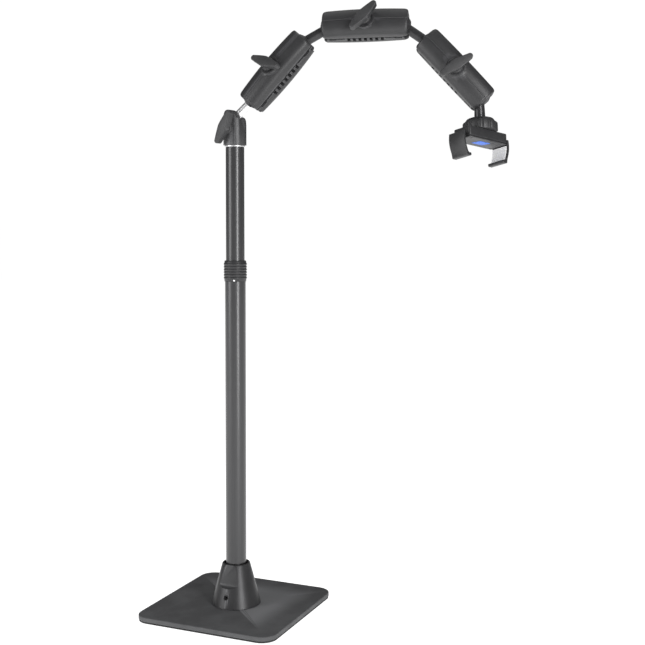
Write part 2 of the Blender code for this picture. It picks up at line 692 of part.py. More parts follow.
def wing_knob(name, frame, turn, bolt_radius, looks):
    """A wing knob standing on its hub, with a blind bore for the bolt."""
    hub = cylinder(name, HUB_RADIUS, 0, HUB_HEIGHT, sides=BALL_SIDES)
    high = HUB_HEIGHT + WING_HEIGHT
    wing = prism(name + "_wing", wing_outline(), WING_RISE, high, cutter=True)
    bevel(wing, WING_BEVEL, 1, math.radians(60))
    bore_top = HUB_HEIGHT + KNOB_BORE_SPARE
    bore = cylinder(name + "_bore", bolt_radius + RUN, -MM, bore_top, sides=SMALL_SIDES, cutter=True)
    join(hub, wing)
    cut(hub, bore)
    local = Matrix.Rotation(turn, 4, "Z")
    for one in (wing, bore, hub):
        one.parent = frame
        one.matrix_local = local
    return finish(hub, looks["knob"])


# Arms. Frame: X from the lower ball to the upper one, Z along the knob's axis.


def swell(x, end, middle):
    """A barrel's size at a distance x from the arm's middle."""
    share = min(abs(x) / (ARM_LENGTH / 2 + SHOULDER), 1)
    return middle + (end - middle) * share**BARREL_POWER


def front_section(x, half, ridge, wall):
    """A hipped section: two upright walls, two slopes and a narrow flat top."""
    low, rise = PARTING / 2, ridge - wall
    side = [(half, low), (half, wall), (0.93 * half, wall + 0.16 * rise)]
    side += [(0.58 * half, wall + 0.68 * rise), (0.24 * half, ridge)]
    ring = side + [(-y, z) for y, z in reversed(side)]
    return [(x, y, z) for y, z in ring]


def rear_section(x, half, depth):
    """A round-backed tub."""
    low, steps = -PARTING / 2, 7
    ring = [(half, low)]
    for i in range(steps + 1):
        turn = math.pi * i / steps
        y = half * math.copysign(abs(math.cos(turn)) ** 0.6, math.cos(turn))
        ring.append((y, low - (depth + low) * (0.22 + 0.78 * math.sin(turn) ** 0.7)))
    ring.append((-half, low))
    return [(x, y, z) for y, z in ring]


def shell_stations():
    """(distance from the middle, half width, share of the full height) along half an arm."""
    end = ARM_LENGTH / 2 + SHOULDER
    nose = BALL_RADIUS + SOCKET_CLEAR + NOSE_WALL
    stations = [(i * end / 5, ARM_HALF_WIDTH, None) for i in range(4)]
    stations.append((end - CORNER_LENGTH, ARM_HALF_WIDTH, None))
    stations.append((end - 0.35 * CORNER_LENGTH, 0.5 * (ARM_HALF_WIDTH + SHOULDER_WIDTH), None))
    stations.append((end, SHOULDER_WIDTH, None))
    for i in range(3):
        reach = SHOULDER + 0.2 * MM + (nose - SHOULDER - 0.6 * MM) * i / 2
        radius = math.sqrt(nose**2 - reach**2)
        stations.append((ARM_LENGTH / 2 + reach, radius, radius))
    return stations


def shell_sections(front):
    half = []
    for x, width, round_height in shell_stations():
        if front:
            ridge = round_height or swell(x, FRONT_END_HEIGHT, FRONT_MID_HEIGHT)
            wall = 0.3 * round_height if round_height else swell(x, WALL_END_HEIGHT, WALL_MID_HEIGHT)
            wall = max(wall, PARTING)
            half.append((x, front_section(x, width, ridge, wall)))
        else:
            depth = round_height or swell(x, REAR_END_DEPTH, REAR_MID_DEPTH)
            half.append((x, rear_section(x, width, max(depth, 2 * PARTING))))
    mirrored = [[(-x, y, z) for x, y, z in ring] for far, ring in reversed(half[1:])]
    middle = ARM_LENGTH / 2
    rings = mirrored + [ring for far, ring in half]
    return [[(x + middle, y, z) for x, y, z in ring] for ring in rings]


def arm_tools(name, frame, roll):
    """Cutters that both shells share: the spring's bore, two ball pockets and two rod sweeps."""
    half = SPRING_LENGTH / 2 + SPRING_WIRE + GAP
    bore_radius = SPRING_RADIUS + SPRING_WIRE + RUN
    bore = cylinder(name + "_spring_bore", bore_radius, -half, half, sides=SMALL_SIDES, cutter=True)
    bore.location.x = ARM_LENGTH / 2
    tools = [bore]
    for i, x in enumerate((0, ARM_LENGTH)):
        tools.append(ball(f"{name}_pocket_{i}", BALL_RADIUS + SOCKET_CLEAR, (x, 0, 0), cutter=True))
    reach = 2 * BALL_RADIUS + SHOULDER
    for i, x in enumerate((0, ARM_LENGTH)):
        radius = ROD_RADIUS + SOCKET_CLEAR
        if i == 0 and name == "arm_1":
            radius = SHAFT_RADIUS + SOCKET_CLEAR
        low, high = (-BEND_IN, BEND_OUT) if i else (math.pi - BEND_OUT, math.pi + BEND_IN)
        sweep = fan(f"{name}_sweep_{i}", radius, reach, low, high)
        sweep.matrix_local = Matrix.Translation((x, 0, 0)) @ Matrix.Rotation(roll, 4, "X")
        tools.append(sweep)
    for tool in tools:
        tool.parent = frame
    return tools


def rib_slots(name, frame):
    """Two rows of small slots along the rear shell's edges, as one cutter."""
    bm = bmesh.new()
    for i in range(RIB_SLOTS):
        x = ARM_LENGTH / 2 + (i - (RIB_SLOTS - 1) / 2) * SLOT_PITCH
        for side in (-1, 1):
            middle = (x, side * ARM_HALF_WIDTH, -PARTING / 2 - SLOT_HEIGHT / 2 + GAP)
            size = (SLOT_WIDTH, 2 * SLOT_DEPTH, SLOT_HEIGHT)
            bmesh.ops.create_cube(bm, size=1, matrix=Matrix.Translation(middle) @ Matrix.Diagonal((*size, 1)))
    slots = from_bmesh(name + "_slots", bm, True)
    slots.parent = frame
    return slots


def arm(number, start, angle, roll, knob_turn, looks):
    name = f"arm_{number}"
    outside = along(angle + math.pi / 2)
    knob_axis = ARC_NORMAL * math.cos(roll) + outside * math.sin(roll)
    frame = empty(name + "_frame", start, along(angle), knob_axis)
    tools = arm_tools(name, frame, roll)
    middle = ARM_LENGTH / 2
    front = loft(name + "_front_shell", shell_sections(True))
    boss_top = FRONT_MID_HEIGHT + BOSS_PROUD
    boss = cylinder(name + "_boss", BOSS_RADIUS, FRONT_END_HEIGHT / 2, boss_top, cutter=True)
    hole = cylinder(
        name + "_bolt_hole", ARM_BOLT_RADIUS + RUN, -2 * REAR_MID_DEPTH, 2 * FRONT_MID_HEIGHT,
        sides=SMALL_SIDES, cutter=True,
    )
    seat = ARM_BOLT_HEAD_THICK + GAP - REAR_MID_DEPTH
    recess = cylinder(
        name + "_head_hole", ARM_BOLT_HEAD + GAP, -2 * REAR_MID_DEPTH, seat, sides=SMALL_SIDES, cutter=True
    )
    for tool in (boss, hole, recess):
        tool.location.x = middle
        tool.parent = frame
    join(front, boss)
    finish(cut(front, hole, *tools), looks["plastic"], frame)
    rear = loft(name + "_rear_shell", shell_sections(False))
    finish(cut(rear, hole, recess, rib_slots(name, frame), *tools), looks["plastic"], frame)
    centre = frame.matrix_world @ Vector((middle, 0, 0))
    line = empty(name + "_bolt_frame", centre, along(angle), knob_axis)
    knob_low = boss_top + GAP
    top = knob_low + HUB_HEIGHT
    bolt = cylinder(name + "_bolt", ARM_BOLT_RADIUS, seat - MM, top, sides=SMALL_SIDES)
    head = cylinder(
        name + "_bolt_head", ARM_BOLT_HEAD, seat - ARM_BOLT_HEAD_THICK, seat - GAP, sides=6, cutter=True
    )
    head.parent = line
    finish(join(bolt, head), looks["steel"], line)
    spring = coil(name + "_spring", SPRING_RADIUS, SPRING_WIRE, SPRING_TURNS, SPRING_LENGTH - 2 * SPRING_WIRE)
    finish(spring, looks["steel"], line)
    spot = empty(name + "_knob_frame", centre + knob_axis * knob_low, along(angle), knob_axis)
    wing_knob(name + "_knob", spot, knob_turn, ARM_BOLT_RADIUS, looks)
    return start + along(angle) * ARM_LENGTH


def arms(looks):
    """The chain of arms, links and neck. Gives the holder ball's centre."""
    point = UP * HEAD_BALL_HEIGHT + along(SHAFT_ANGLE) * SHAFT_LENGTH
    for i, angle in enumerate(ARM_ANGLES):
        point = arm(i + 1, point, angle, ARM_ROLLS[i], KNOB_TURNS[i], looks)
        if i < len(LINK_ANGLES):
            frame = empty(f"link_{i + 1}_frame", point, along(LINK_ANGLES[i]), ARC_NORMAL)
            sizes = (LINK_LENGTH, BALL_RADIUS, BALL_RADIUS, ROD_RADIUS, ROD_RADIUS)
            rod_piece(f"link_{i + 1}", frame, looks["rod"], *sizes)
            point = point + along(LINK_ANGLES[i]) * LINK_LENGTH
    frame = empty("neck_frame", point, along(NECK_ANGLE), ARC_NORMAL)
    sizes = (NECK_LENGTH, BALL_RADIUS, HOLDER_BALL_RADIUS, ROD_RADIUS, NECK_FLARE)
    rod_piece("neck", frame, looks["rod"], *sizes)
    return point + along(NECK_ANGLE) * NECK_LENGTH


# Phone holder


def ring_nut(frame, looks):
    bore, lip = CUP_RADIUS + RUN, HOLDER_BALL_RADIUS + MM
    shelf = NUT_TOP + NUT_LIP
    profile = [(NUT_DOME_RADIUS, NUT_TOP), (0.5 * (NUT_RADIUS + NUT_DOME_RADIUS) + MM, NUT_TOP + 1.2 * MM)]
    profile += [(NUT_RADIUS - MM, LOBE_TOP + MM), (NUT_RADIUS, LOBE_TOP + 4 * MM), (NUT_RADIUS, NUT_BOTTOM)]
    profile += [(bore, NUT_BOTTOM), (bore, shelf), (lip, shelf), (lip + 0.6 * MM, NUT_TOP)]
    nut = turned("ring_nut", profile, SIDES)
    bm = bmesh.new()
    for i in range(LOBE_COUNT):
        turn = 2 * math.pi * i / LOBE_COUNT
        reach = NUT_RADIUS - LOBE_RADIUS + 2.2 * MM
        spot = (reach * math.cos(turn), reach * math.sin(turn), (LOBE_TOP + NUT_BOTTOM) / 2)
        bmesh.ops.create_cone(
            bm, cap_ends=True, segments=12, radius1=LOBE_RADIUS, radius2=LOBE_RADIUS,
            depth=NUT_BOTTOM - LOBE_TOP, matrix=Matrix.Translation(spot),
        )
    lobes = from_bmesh("nut_lobes", bm, True)
    lobes.parent = frame
    finish(join(nut, lobes), looks["plastic"], frame)
    cup = cylinder("ball_cup", CUP_RADIUS, -CUP_RISE, CUP_FALL, sides=32)
    pocket = ball("cup_pocket", HOLDER_BALL_RADIUS + SOCKET_CLEAR, cutter=True)
    slit = box("cup_slit", (0, -CUP_SLIT / 2, -NUT_BOTTOM), (2 * CUP_RADIUS, CUP_SLIT / 2, NUT_BOTTOM), True)
    for tool in (pocket, slit):
        tool.parent = frame
    finish(cut(cup, pocket, slit), looks["plastic"], frame)
    return pocket


def rounded_plate(name, length, width, corner, low, high, cutter=False):
    reach_x, reach_y = length / 2 - corner, width / 2 - corner
    centres = [(reach_x, reach_y), (-reach_x, reach_y), (-reach_x, -reach_y), (reach_x, -reach_y)]
    outline = []
    for i, centre in enumerate(centres):
        outline += arc(centre, corner, i * math.pi / 2, (i + 1) * math.pi / 2, 3)
    return prism(name, outline, low, high, cutter)


def jaw_line():
    """Middle line of a jaw's plate in the X-Z plane, from its head to its foot, for +X."""
    top = NUT_BOTTOM + GAP + TONGUE_DEPTH
    outer = BODY_LENGTH / 2 + GAP + JAW_THICK / 2
    points = []
    steps = 6
    for i in range(steps + 1):
        share = i / steps
        bow = JAW_BOW * math.sin(math.pi * min(share * 1.15, 1))
        points.append((outer + bow - JAW_LEAN * share**2, top + (JAW_DEPTH - JAW_THICK) * share))
    return points


def jaw_outline(inner, outer):
    """The plate's outline between two offsets of the middle line, in the X-Z plane."""
    line = jaw_line()
    return [(x + outer, z) for x, z in line] + [(x + inner, z) for x, z in reversed(line)]


def upright_prism(name, outline, low, high, cutter=False):
    """A prism along Y from an outline in the X-Z plane."""
    made = prism(name, [(x, -z) for x, z in outline], low, high, cutter)
    made.data.transform(Matrix.Rotation(math.radians(90), 4, "X").inverted())
    return made


def jaw(name, side, frame, looks):
    """A jaw on the +X or -X side: plate, hook and tongue, with a pad on its inner face."""
    line = jaw_line()
    half = JAW_THICK / 2
    plate = upright_prism(name, jaw_outline(-half, half), -JAW_WIDTH / 2, JAW_WIDTH / 2)
    foot_x, foot_z = line[-1]
    hook = box(
        name + "_hook",
        (foot_x - half - HOOK_REACH, -JAW_WIDTH / 2, foot_z - MM),
        (foot_x + half, JAW_WIDTH / 2, foot_z + JAW_THICK),
        True,
    )
    tongue_low = line[0][1]
    inner = line[0][0] + half - MM - (TONGUE_LENGTH if side < 0 else JAW_THICK + 2 * MM)
    tongue = box(
        name + "_tongue",
        (inner, -TONGUE_WIDTH / 2, tongue_low),
        (line[1][0], TONGUE_WIDTH / 2, tongue_low + TONGUE_THICK),
        True,
    )
    pad_low = foot_z - MM - JAW_PAD_HEIGHT
    pad_side = JAW_WIDTH / 2 - JAW_PAD_MARGIN
    pad_outline = jaw_outline(-half - GAP - JAW_PAD_THICK, -half - GAP)
    pad = upright_prism(name + "_pad", pad_outline, -pad_side, pad_side)
    trim = box(
        name + "_pad_trim", (0, -JAW_WIDTH, pad_low), (2 * BODY_LENGTH, JAW_WIDTH, foot_z - MM - GAP), True
    )
    spot = Matrix() if side > 0 else Matrix.Diagonal((-1, 1, 1, 1))
    for one in (plate, hook, tongue, pad, trim):
        one.data.transform(spot)
        if side < 0:
            one.data.flip_normals()
        one.parent = frame
    join(plate, hook, tongue)
    boolean(pad, trim, "INTERSECT")
    finish(plate, looks["plastic"])
    finish(pad, looks["silver"])


def holder(centre, looks):
    frame = empty("holder_frame", centre, HOLDER_LONG, HOLDER_NORMAL)
    pocket = ring_nut(frame, looks)
    low = NUT_BOTTOM + GAP
    high = low + BODY_THICK
    body = rounded_plate("holder_body", BODY_LENGTH, BODY_WIDTH, BODY_CORNER, low, high)
    spigot = cylinder("holder_spigot", CUP_RADIUS, CUP_FALL + GAP, low + MM, sides=32, cutter=True)
    tongue_low = low + TONGUE_DEPTH - RUN
    clear = TONGUE_WIDTH / 2 + RUN
    channel = box(
        "holder_channel",
        (-BODY_LENGTH, -clear, tongue_low),
        (BODY_LENGTH / 2 - CHANNEL_STOP, clear, tongue_low + TONGUE_THICK + 2 * RUN),
        True,
    )
    socket = box(
        "holder_socket",
        (BODY_LENGTH / 2 - SOCKET_REACH, -clear, tongue_low),
        (BODY_LENGTH, clear, tongue_low + TONGUE_THICK + 2 * RUN),
        True,
    )
    spring_spot = TONGUE_WIDTH / 2 + JAW_SPRING_RADIUS + SPRING_MARGIN
    half = JAW_SPRING_LENGTH / 2 + MM
    spring_clear = JAW_SPRING_RADIUS + JAW_SPRING_WIRE + RUN
    spring_bore = cylinder("spring_bore", spring_clear, -half, half, "X", SMALL_SIDES, cutter=True)
    spring_height = low + TONGUE_DEPTH + TONGUE_THICK / 2
    spring_bore.location = (0, spring_spot, spring_height)
    cover_low = high + GAP
    cover_high = cover_low + COVER_THICK
    cover = rounded_plate("holder_cover", BODY_LENGTH, BODY_WIDTH, BODY_CORNER, cover_low, cover_high)
    slant = PAD_SLANT / 2
    outline = [
        (PAD_LENGTH / 2 - slant, -PAD_WIDTH / 2), (PAD_LENGTH / 2 + slant, PAD_WIDTH / 2),
        (slant - PAD_LENGTH / 2, PAD_WIDTH / 2), (-slant - PAD_LENGTH / 2, -PAD_WIDTH / 2),
    ]
    grow = 1 + 2 * GAP / PAD_WIDTH
    wider = [(x * grow, y * grow) for x, y in outline]
    seat = prism("pad_seat", wider, cover_high - PAD_SUNK - GAP, cover_high + MM, True)
    patch = prism("back_pad", outline, cover_high - PAD_SUNK, cover_high + PAD_PROUD)
    holes = []
    hole_floor = cover_high - COVER_SCREW_LENGTH - GAP
    for i, side in enumerate((-1, 1)):
        spot = (side * (BODY_LENGTH / 2 - SCREW_INSET[0]), -side * (BODY_WIDTH / 2 - SCREW_INSET[1]), 0)
        hole = cylinder(
            f"cover_hole_{i}", COVER_SCREW_RADIUS + GAP, hole_floor, cover_high + MM,
            sides=SMALL_SIDES, cutter=True,
        )
        hole.location = spot
        holes.append(hole)
        screw_top = cover_high - COVER_SCREW_SUNK
        screw = cylinder(
            f"cover_screw_{i + 1}", COVER_SCREW_RADIUS, cover_high - COVER_SCREW_LENGTH, screw_top,
            sides=SMALL_SIDES,
        )
        screw.location = spot
        finish(screw, looks["steel"], frame)
    for tool in (spigot, channel, socket, spring_bore, seat, *holes):
        tool.parent = frame
    join(body, spigot)
    cut(body, pocket, channel, socket, spring_bore, *holes)
    cut(cover, seat, *holes)
    finish(body, looks["plastic"], frame)
    finish(cover, looks["plastic"], frame)
    finish(patch, looks["blue"], frame)
    spring = coil("jaw_spring", JAW_SPRING_RADIUS, JAW_SPRING_WIRE, JAW_SPRING_TURNS, JAW_SPRING_LENGTH)
    spring.location = (0, spring_spot, spring_height)
    spring.rotation_euler.y = math.radians(90)
    finish(spring, looks["steel"], frame)
    jaw("right_jaw", 1, frame, looks)
    slide = empty("left_jaw_frame", centre - HOLDER_LONG.normalized() * JAW_REST, HOLDER_LONG, HOLDER_NORMAL)
    jaw("left_jaw", -1, slide, looks)


def main():
    clear_scene()
    looks = make_materials()
    base(looks)
    pole_socket(looks)
    lower_pole(looks)
    twist_collar(looks)
    upper_pole(looks)
    clamp_head(looks)
    holder(arms(looks), looks)


main()
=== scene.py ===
"""Overhead phone stand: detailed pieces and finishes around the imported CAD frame.

The file is laid out as an add-on. Run as a script, it registers its classes, makes every piece
through its operators and hands the scene over."""

import json
import math

import bmesh
import bpy
from bpy.props import FloatProperty, FloatVectorProperty, IntProperty, PointerProperty
from mathutils import Matrix, Vector


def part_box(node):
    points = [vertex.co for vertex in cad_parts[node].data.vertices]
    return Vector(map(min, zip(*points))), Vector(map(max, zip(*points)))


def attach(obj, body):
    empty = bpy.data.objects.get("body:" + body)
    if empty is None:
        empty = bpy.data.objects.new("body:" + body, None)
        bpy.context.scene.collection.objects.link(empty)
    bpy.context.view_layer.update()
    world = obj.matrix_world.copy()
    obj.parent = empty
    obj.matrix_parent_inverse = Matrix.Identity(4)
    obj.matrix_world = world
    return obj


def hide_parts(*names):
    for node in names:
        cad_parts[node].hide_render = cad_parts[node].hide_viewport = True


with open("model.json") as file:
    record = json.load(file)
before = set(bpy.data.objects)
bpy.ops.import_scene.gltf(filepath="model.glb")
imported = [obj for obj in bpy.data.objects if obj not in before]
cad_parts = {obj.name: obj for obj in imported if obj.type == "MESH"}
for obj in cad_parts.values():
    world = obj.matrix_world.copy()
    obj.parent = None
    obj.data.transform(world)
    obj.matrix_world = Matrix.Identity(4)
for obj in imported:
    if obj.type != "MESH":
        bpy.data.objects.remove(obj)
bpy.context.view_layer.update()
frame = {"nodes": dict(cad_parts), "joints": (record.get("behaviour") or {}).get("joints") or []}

bl_info = {
    "name": "Overhead Phone Stand",
    "version": (1, 0, 0),
    "blender": (4, 5, 0),
    "location": "View3D > Sidebar > Stand",
    "description": "Makes an overhead phone stand with a jointed arm and a sprung holder",
    "category": "Object",
}

MM = 0.001
GAP = 0.3 * MM
RUN = 0.4 * MM
UP = Vector((0, 0, 1))
QUARTER = math.pi / 2
JOINTS = {joint["name"]: joint for joint in frame["joints"]}


def spot(joint):
    return Vector(JOINTS[joint]["pos_m"])


def direction(joint):
    return Vector(JOINTS[joint]["axis"]).normalized()


def basis(origin, x_axis, z_axis):
    """A frame whose X and Z follow two directions."""
    z = z_axis.normalized()
    x = (x_axis - z * x_axis.dot(z)).normalized()
    turn = Matrix((x, z.cross(x), z)).transposed().to_4x4()
    return Matrix.Translation(origin) @ turn


def lifted(height):
    return Matrix.Translation((0, 0, height))


# Where the jointed pieces are, from the record's joints
ARC_NORMAL = -direction("head_tilt")
HEAD_BALL = spot("head_tilt")
ARM_STARTS = [spot(f"arm_{k}_tilt") for k in (1, 2, 3)]
ARM_ENDS = [spot("link_1_tilt"), spot("link_2_tilt"), spot("neck_tilt")]
ARM_LENGTH = (ARM_ENDS[0] - ARM_STARTS[0]).length
HOLDER_BALL = spot("holder_swivel")
HOLDER_NORMAL = direction("holder_swivel")
HOLDER_LONG = -direction("left_jaw_slide")
HOLDER_FRAME = basis(HOLDER_BALL, HOLDER_LONG, HOLDER_NORMAL)


# Sizes and colours that a user would change


def length(name, text, size):
    return FloatProperty(name=name, description=text, default=size, min=0, unit="LENGTH", precision=5)


def colour(name, text, shade):
    return FloatVectorProperty(
        name=name, description=text, default=shade, subtype="COLOR", size=3, min=0, max=1
    )


def power(name, text, watts):
    return FloatProperty(name=name, description=text, default=watts, min=0, unit="POWER")


class StandSizes(bpy.types.PropertyGroup):
    """Sizes of the stand's details."""

    plate_corner: length("Plate corner", "Radius of the base plate's corners", 21 * MM)
    plate_rim: length("Plate rim", "Rounding of the base plate's rim", 1.1 * MM)
    rib_depth: length("Rib depth", "Depth of the grooves round the twist collar", 0.85 * MM)
    arm_half_width: length("Arm half width", "Half the width of an arm shell", 18.5 * MM)
    arm_height: length("Arm height", "Height of the front shell over the arm's axis", 19.2 * MM)
    arm_depth: length("Arm depth", "Depth of the rear shell under the arm's axis", 20 * MM)
    wing_length: length("Wing length", "Length of a wing knob, tip to tip", 48 * MM)
    wing_width: length("Wing width", "Width of a wing knob across its middle", 14.5 * MM)
    jaw_depth: length("Jaw depth", "Length of a jaw from the holder's body to its hook", 32 * MM)
    nut_lobes: IntProperty(name="Nut lobes", description="Lobes round the ring nut", default=8, min=3)


class StandColours(bpy.types.PropertyGroup):
    """Base colours of the finishes."""

    coat: colour("Powder coat", "Base plate", (0.098, 0.099, 0.102))
    cast: colour("Cast metal", "Pole socket and clamp head", (0.052, 0.052, 0.054))
    tube: colour("Tube enamel", "Both tubes", (0.036, 0.036, 0.038))
    plastic: colour("Plastic", "Arm shells, collar and holder", (0.027, 0.027, 0.0285))
    knob: colour("Knob plastic", "Wing knobs", (0.034, 0.034, 0.0355))
    rod: colour("Rod metal", "Links and neck", (0.042, 0.042, 0.044))
    steel: colour("Bright steel", "Shaft and fixings", (0.92, 0.92, 0.93))
    rubber: colour("Rubber", "Mat under the base", (0.018, 0.018, 0.018))
    silver: colour("Silver pad", "Inner faces of the jaws", (0.95, 0.95, 0.96))
    blue: colour("Blue pad", "Patch on the holder's back rest", (0.07, 0.2, 0.78))
    floor: colour("Floor", "Plain floor", (0.86, 0.86, 0.86))


class StandStage(bpy.types.PropertyGroup):
    """Lights and lens."""

    key: power("Key light", "Power of the tall front light", 28)
    fill: power("Fill light", "Power of the left light", 17)
    top: power("Top light", "Power of the overhead light", 8)
    world: FloatProperty(name="Room light", description="Strength of the even room light", default=0.15)
    lens: FloatProperty(name="Lens", description="Focal length of the camera", default=61.04, unit="CAMERA")


# Shader graphs, written as expressions


class Wire:
    """A number or colour on its way through a material's nodes."""

    def __init__(self, graph, socket):
        self.graph = graph
        self.socket = socket

    def number(self, operation, first, second):
        return self.graph.node("ShaderNodeMath", {"operation": operation}, {0: first, 1: second})

    def __add__(self, other):
        return self.number("ADD", self, other)

    __radd__ = __add__

    def __sub__(self, other):
        return self.number("SUBTRACT", self, other)

    def __rsub__(self, other):
        return self.number("SUBTRACT", other, self)

    def __mul__(self, other):
        return self.number("MULTIPLY", self, other)

    __rmul__ = __mul__

    def between(self, low, high):
        """0 below low and 1 above high, smooth between them."""
        values = {0: self, 1: low, 2: high, 3: 0.0, 4: 1.0}
        settings = {"interpolation_type": "SMOOTHSTEP"}
        return self.graph.node("ShaderNodeMapRange", settings, values)


class Graph:
    """One material and its nodes."""

    def __init__(self, name):
        self.material = bpy.data.materials.new(name)
        self.material.use_nodes = True
        self.nodes = self.material.node_tree.nodes
        self.links = self.material.node_tree.links
        self.nodes.clear()
        self.surface = self.nodes.new("ShaderNodeBsdfPrincipled")
        output = self.nodes.new("ShaderNodeOutputMaterial")
        self.links.new(self.surface.outputs[0], output.inputs[0])

    def plug(self, socket, value):
        if isinstance(value, Wire):
            self.links.new(value.socket, socket)
        elif isinstance(socket.default_value, (int, float)) or isinstance(value, str):
            socket.default_value = value
        else:
            value = tuple(value)
            room = len(socket.default_value)
            socket.default_value = value if len(value) == room else (*value, 1.0)[:room]

    def node(self, kind, settings=None, values=None, output=0):
        """A node of any type: its settings first, then the values or wires of its sockets."""
        made = self.nodes.new(kind)
        for key, value in (settings or {}).items():
            setattr(made, key, value)
        for key, value in (values or {}).items():
            self.plug(made.inputs[key], value)
        return Wire(self, made.outputs[output])

    def place(self, stretch=(1, 1, 1)):
        """The point on the piece in metres, stretched along its own axes."""
        point = self.node("ShaderNodeTexCoord", output="Object")
        return self.node("ShaderNodeVectorMath", {"operation": "MULTIPLY"}, {0: point, 1: stretch})

    def noise(self, size, detail=2.0, rough=0.55, stretch=(1, 1, 1)):
        """Noise from 0 to 1 whose spots are about this size in metres."""
        values = {"Vector": self.place(stretch), "Scale": 1 / size, "Detail": detail, "Roughness": rough}
        return self.node("ShaderNodeTexNoise", None, values)

    def cells(self, size):
        """Distance from the nearest grain's middle, grains about this size in metres."""
        values = {"Vector": self.place(), "Scale": 1 / size}
        return self.node("ShaderNodeTexVoronoi", {"feature": "SMOOTH_F1"}, values)

    def edges(self, low, high):
        """1 on convex outer edges, 0 on flat faces: where the finishes paint a lighter highlight together
        with wear.
        """
        return self.node("ShaderNodeNewGeometry", output="Pointiness").between(low, high)

    def mix(self, share, first, second):
        return self.node("ShaderNodeMix", {"data_type": "RGBA"}, {0: share, 6: first, 7: second}, 2)

    def mottle(self, share, shade, first, second):
        """A shade that wanders between two strengths of itself."""
        return self.mix(share, shaded(shade, first), shaded(shade, second))

    def bump(self, height, depth, strength):
        values = {"Height": height, "Distance": depth, "Strength": strength}
        return self.node("ShaderNodeBump", None, values)

    def finish(self, **sockets):
        for name, value in sockets.items():
            self.plug(self.surface.inputs[name.replace("_", " ")], value)
        return self.material

    def coat(self, tint, rough, normal, **others):
        return self.finish(Base_Color=tint, Roughness=rough, Normal=normal, **others)


def shaded(shade, factor):
    return tuple(min(value * factor, 1.0) for value in shade)


def powder_coat(shade):
    """Fine textured powder coat: pinhead bumps, a little cloudiness, and a rim lightened by a painted
    highlight along with rubbed wear.
    """
    g = Graph("powder_coat")
    grain = g.noise(0.9 * MM, 3.0, 0.6)
    cloud = g.noise(34 * MM, 3.0)
    speck = g.cells(1.1 * MM)
    tint = g.mottle(cloud.between(0.35, 0.68), shade, 0.88, 1.14)
    tint = g.mix(speck.between(0.25, 0.02) * 0.35, tint, shaded(shade, 1.9))
    # painted highlight along with rubbed wear: the convex rim is lightened in the colour
    tint = g.mix(g.edges(0.53, 0.6) * 0.6, tint, shaded(shade, 3.0))
    rough = 0.62 + grain * 0.16 - cloud * 0.06
    normal = g.bump(grain + (1 - speck) * 0.5, 0.12 * MM, 0.75)
    return g.coat(tint, rough, normal, Specular_IOR_Level=0.3)


def cast_metal(shade):
    """Satin paint over a casting: soft orange peel, and edges lightened by a painted highlight along with
    rubbed wear.
    """
    g = Graph("cast_metal")
    peel = g.noise(2.2 * MM, 2.0)
    dust = g.noise(0.5 * MM, 2.0)
    tint = g.mottle(g.noise(26 * MM).between(0.3, 0.7), shade, 0.92, 1.1)
    # painted highlight along with rubbed wear: convex edges are lightened in the colour
    tint = g.mix(g.edges(0.525, 0.6) * 0.5, tint, shaded(shade, 2.8))
    rough = 0.3 + dust * 0.1 + peel * 0.06
    normal = g.bump(peel * 0.7 + dust * 0.3, 0.09 * MM, 0.4)
    return g.coat(tint, rough, normal, Metallic=0.35)


def tube_enamel(shade):
    """Semi-gloss enamel on a drawn tube: faint lengthwise streaks under a clear skin."""
    g = Graph("tube_enamel")
    streak = g.noise(1.6 * MM, 3.0, 0.6, (1, 1, 0.02))
    haze = g.noise(45 * MM, 3.0, 0.5, (1, 1, 0.5))
    speck = g.noise(0.6 * MM, 1.0)
    tint = g.mottle(streak.between(0.3, 0.7), shade, 0.92, 1.1)
    rough = 0.27 + haze * 0.08 + speck * 0.05
    normal = g.bump(streak * 0.6 + speck * 0.4, 0.05 * MM, 0.3)
    return g.coat(tint, rough, normal, Metallic=0.3, Coat_Weight=0.6, Coat_Roughness=0.22)


def grained_plastic(name, shade, grain_size, depth, rough_base, cloudy):
    """Moulded plastic with an etched grain, slightly polished where hands rub its edges, with a painted
    highlight lightening those edges.
    """
    g = Graph(name)
    grain = g.cells(grain_size)
    fine = g.noise(0.45 * grain_size, 2.0, 0.6)
    cloud = g.noise(18 * grain_size, 3.0, 0.6)
    tint = g.mottle(cloud.between(0.3, 0.72), shade, 1 - cloudy, 1 + cloudy)
    tint = g.mix(fine.between(0.4, 0.72) * 0.5, tint, shaded(shade, 1 + 1.6 * cloudy))
    # painted highlight along with rubbed wear: convex edges, such as the collar's rib crests, are lightened
    # in the colour
    tint = g.mix(g.edges(0.525, 0.6) * 0.5, tint, shaded(shade, 3.0))
    rough = rough_base + fine * 0.12 - g.edges(0.53, 0.62) * 0.08
    normal = g.bump(grain * 0.6 + fine * 0.6, depth, 0.55)
    return g.coat(tint, rough, normal)


def rod_metal(shade):
    """Dark coated rod, turned: fine rings round it and a soft sheen."""
    g = Graph("rod_metal")
    rings = g.noise(0.5 * MM, 2.0, 0.5, (1, 0.03, 0.03))
    cloud = g.noise(9 * MM, 2.0)
    tint = g.mottle(cloud.between(0.3, 0.7), shade, 0.9, 1.12)
    rough = 0.27 + rings * 0.1
    normal = g.bump(rings, 0.012 * MM, 0.2)
    return g.coat(tint, rough, normal, Metallic=0.5)


def bright_steel(shade):
    """Polished nickel plate with faint turning marks and finger haze."""
    g = Graph("bright_steel")
    rings = g.noise(0.3 * MM, 2.0, 0.5, (1, 0.03, 0.03))
    haze = g.noise(7 * MM, 3.0)
    tint = g.mix(haze.between(0.35, 0.75), shade, shaded(shade, 0.86))
    rough = 0.26 + haze * 0.1 + rings * 0.03
    normal = g.bump(rings, 0.008 * MM, 0.12)
    return g.coat(tint, rough, normal, Metallic=0.85)


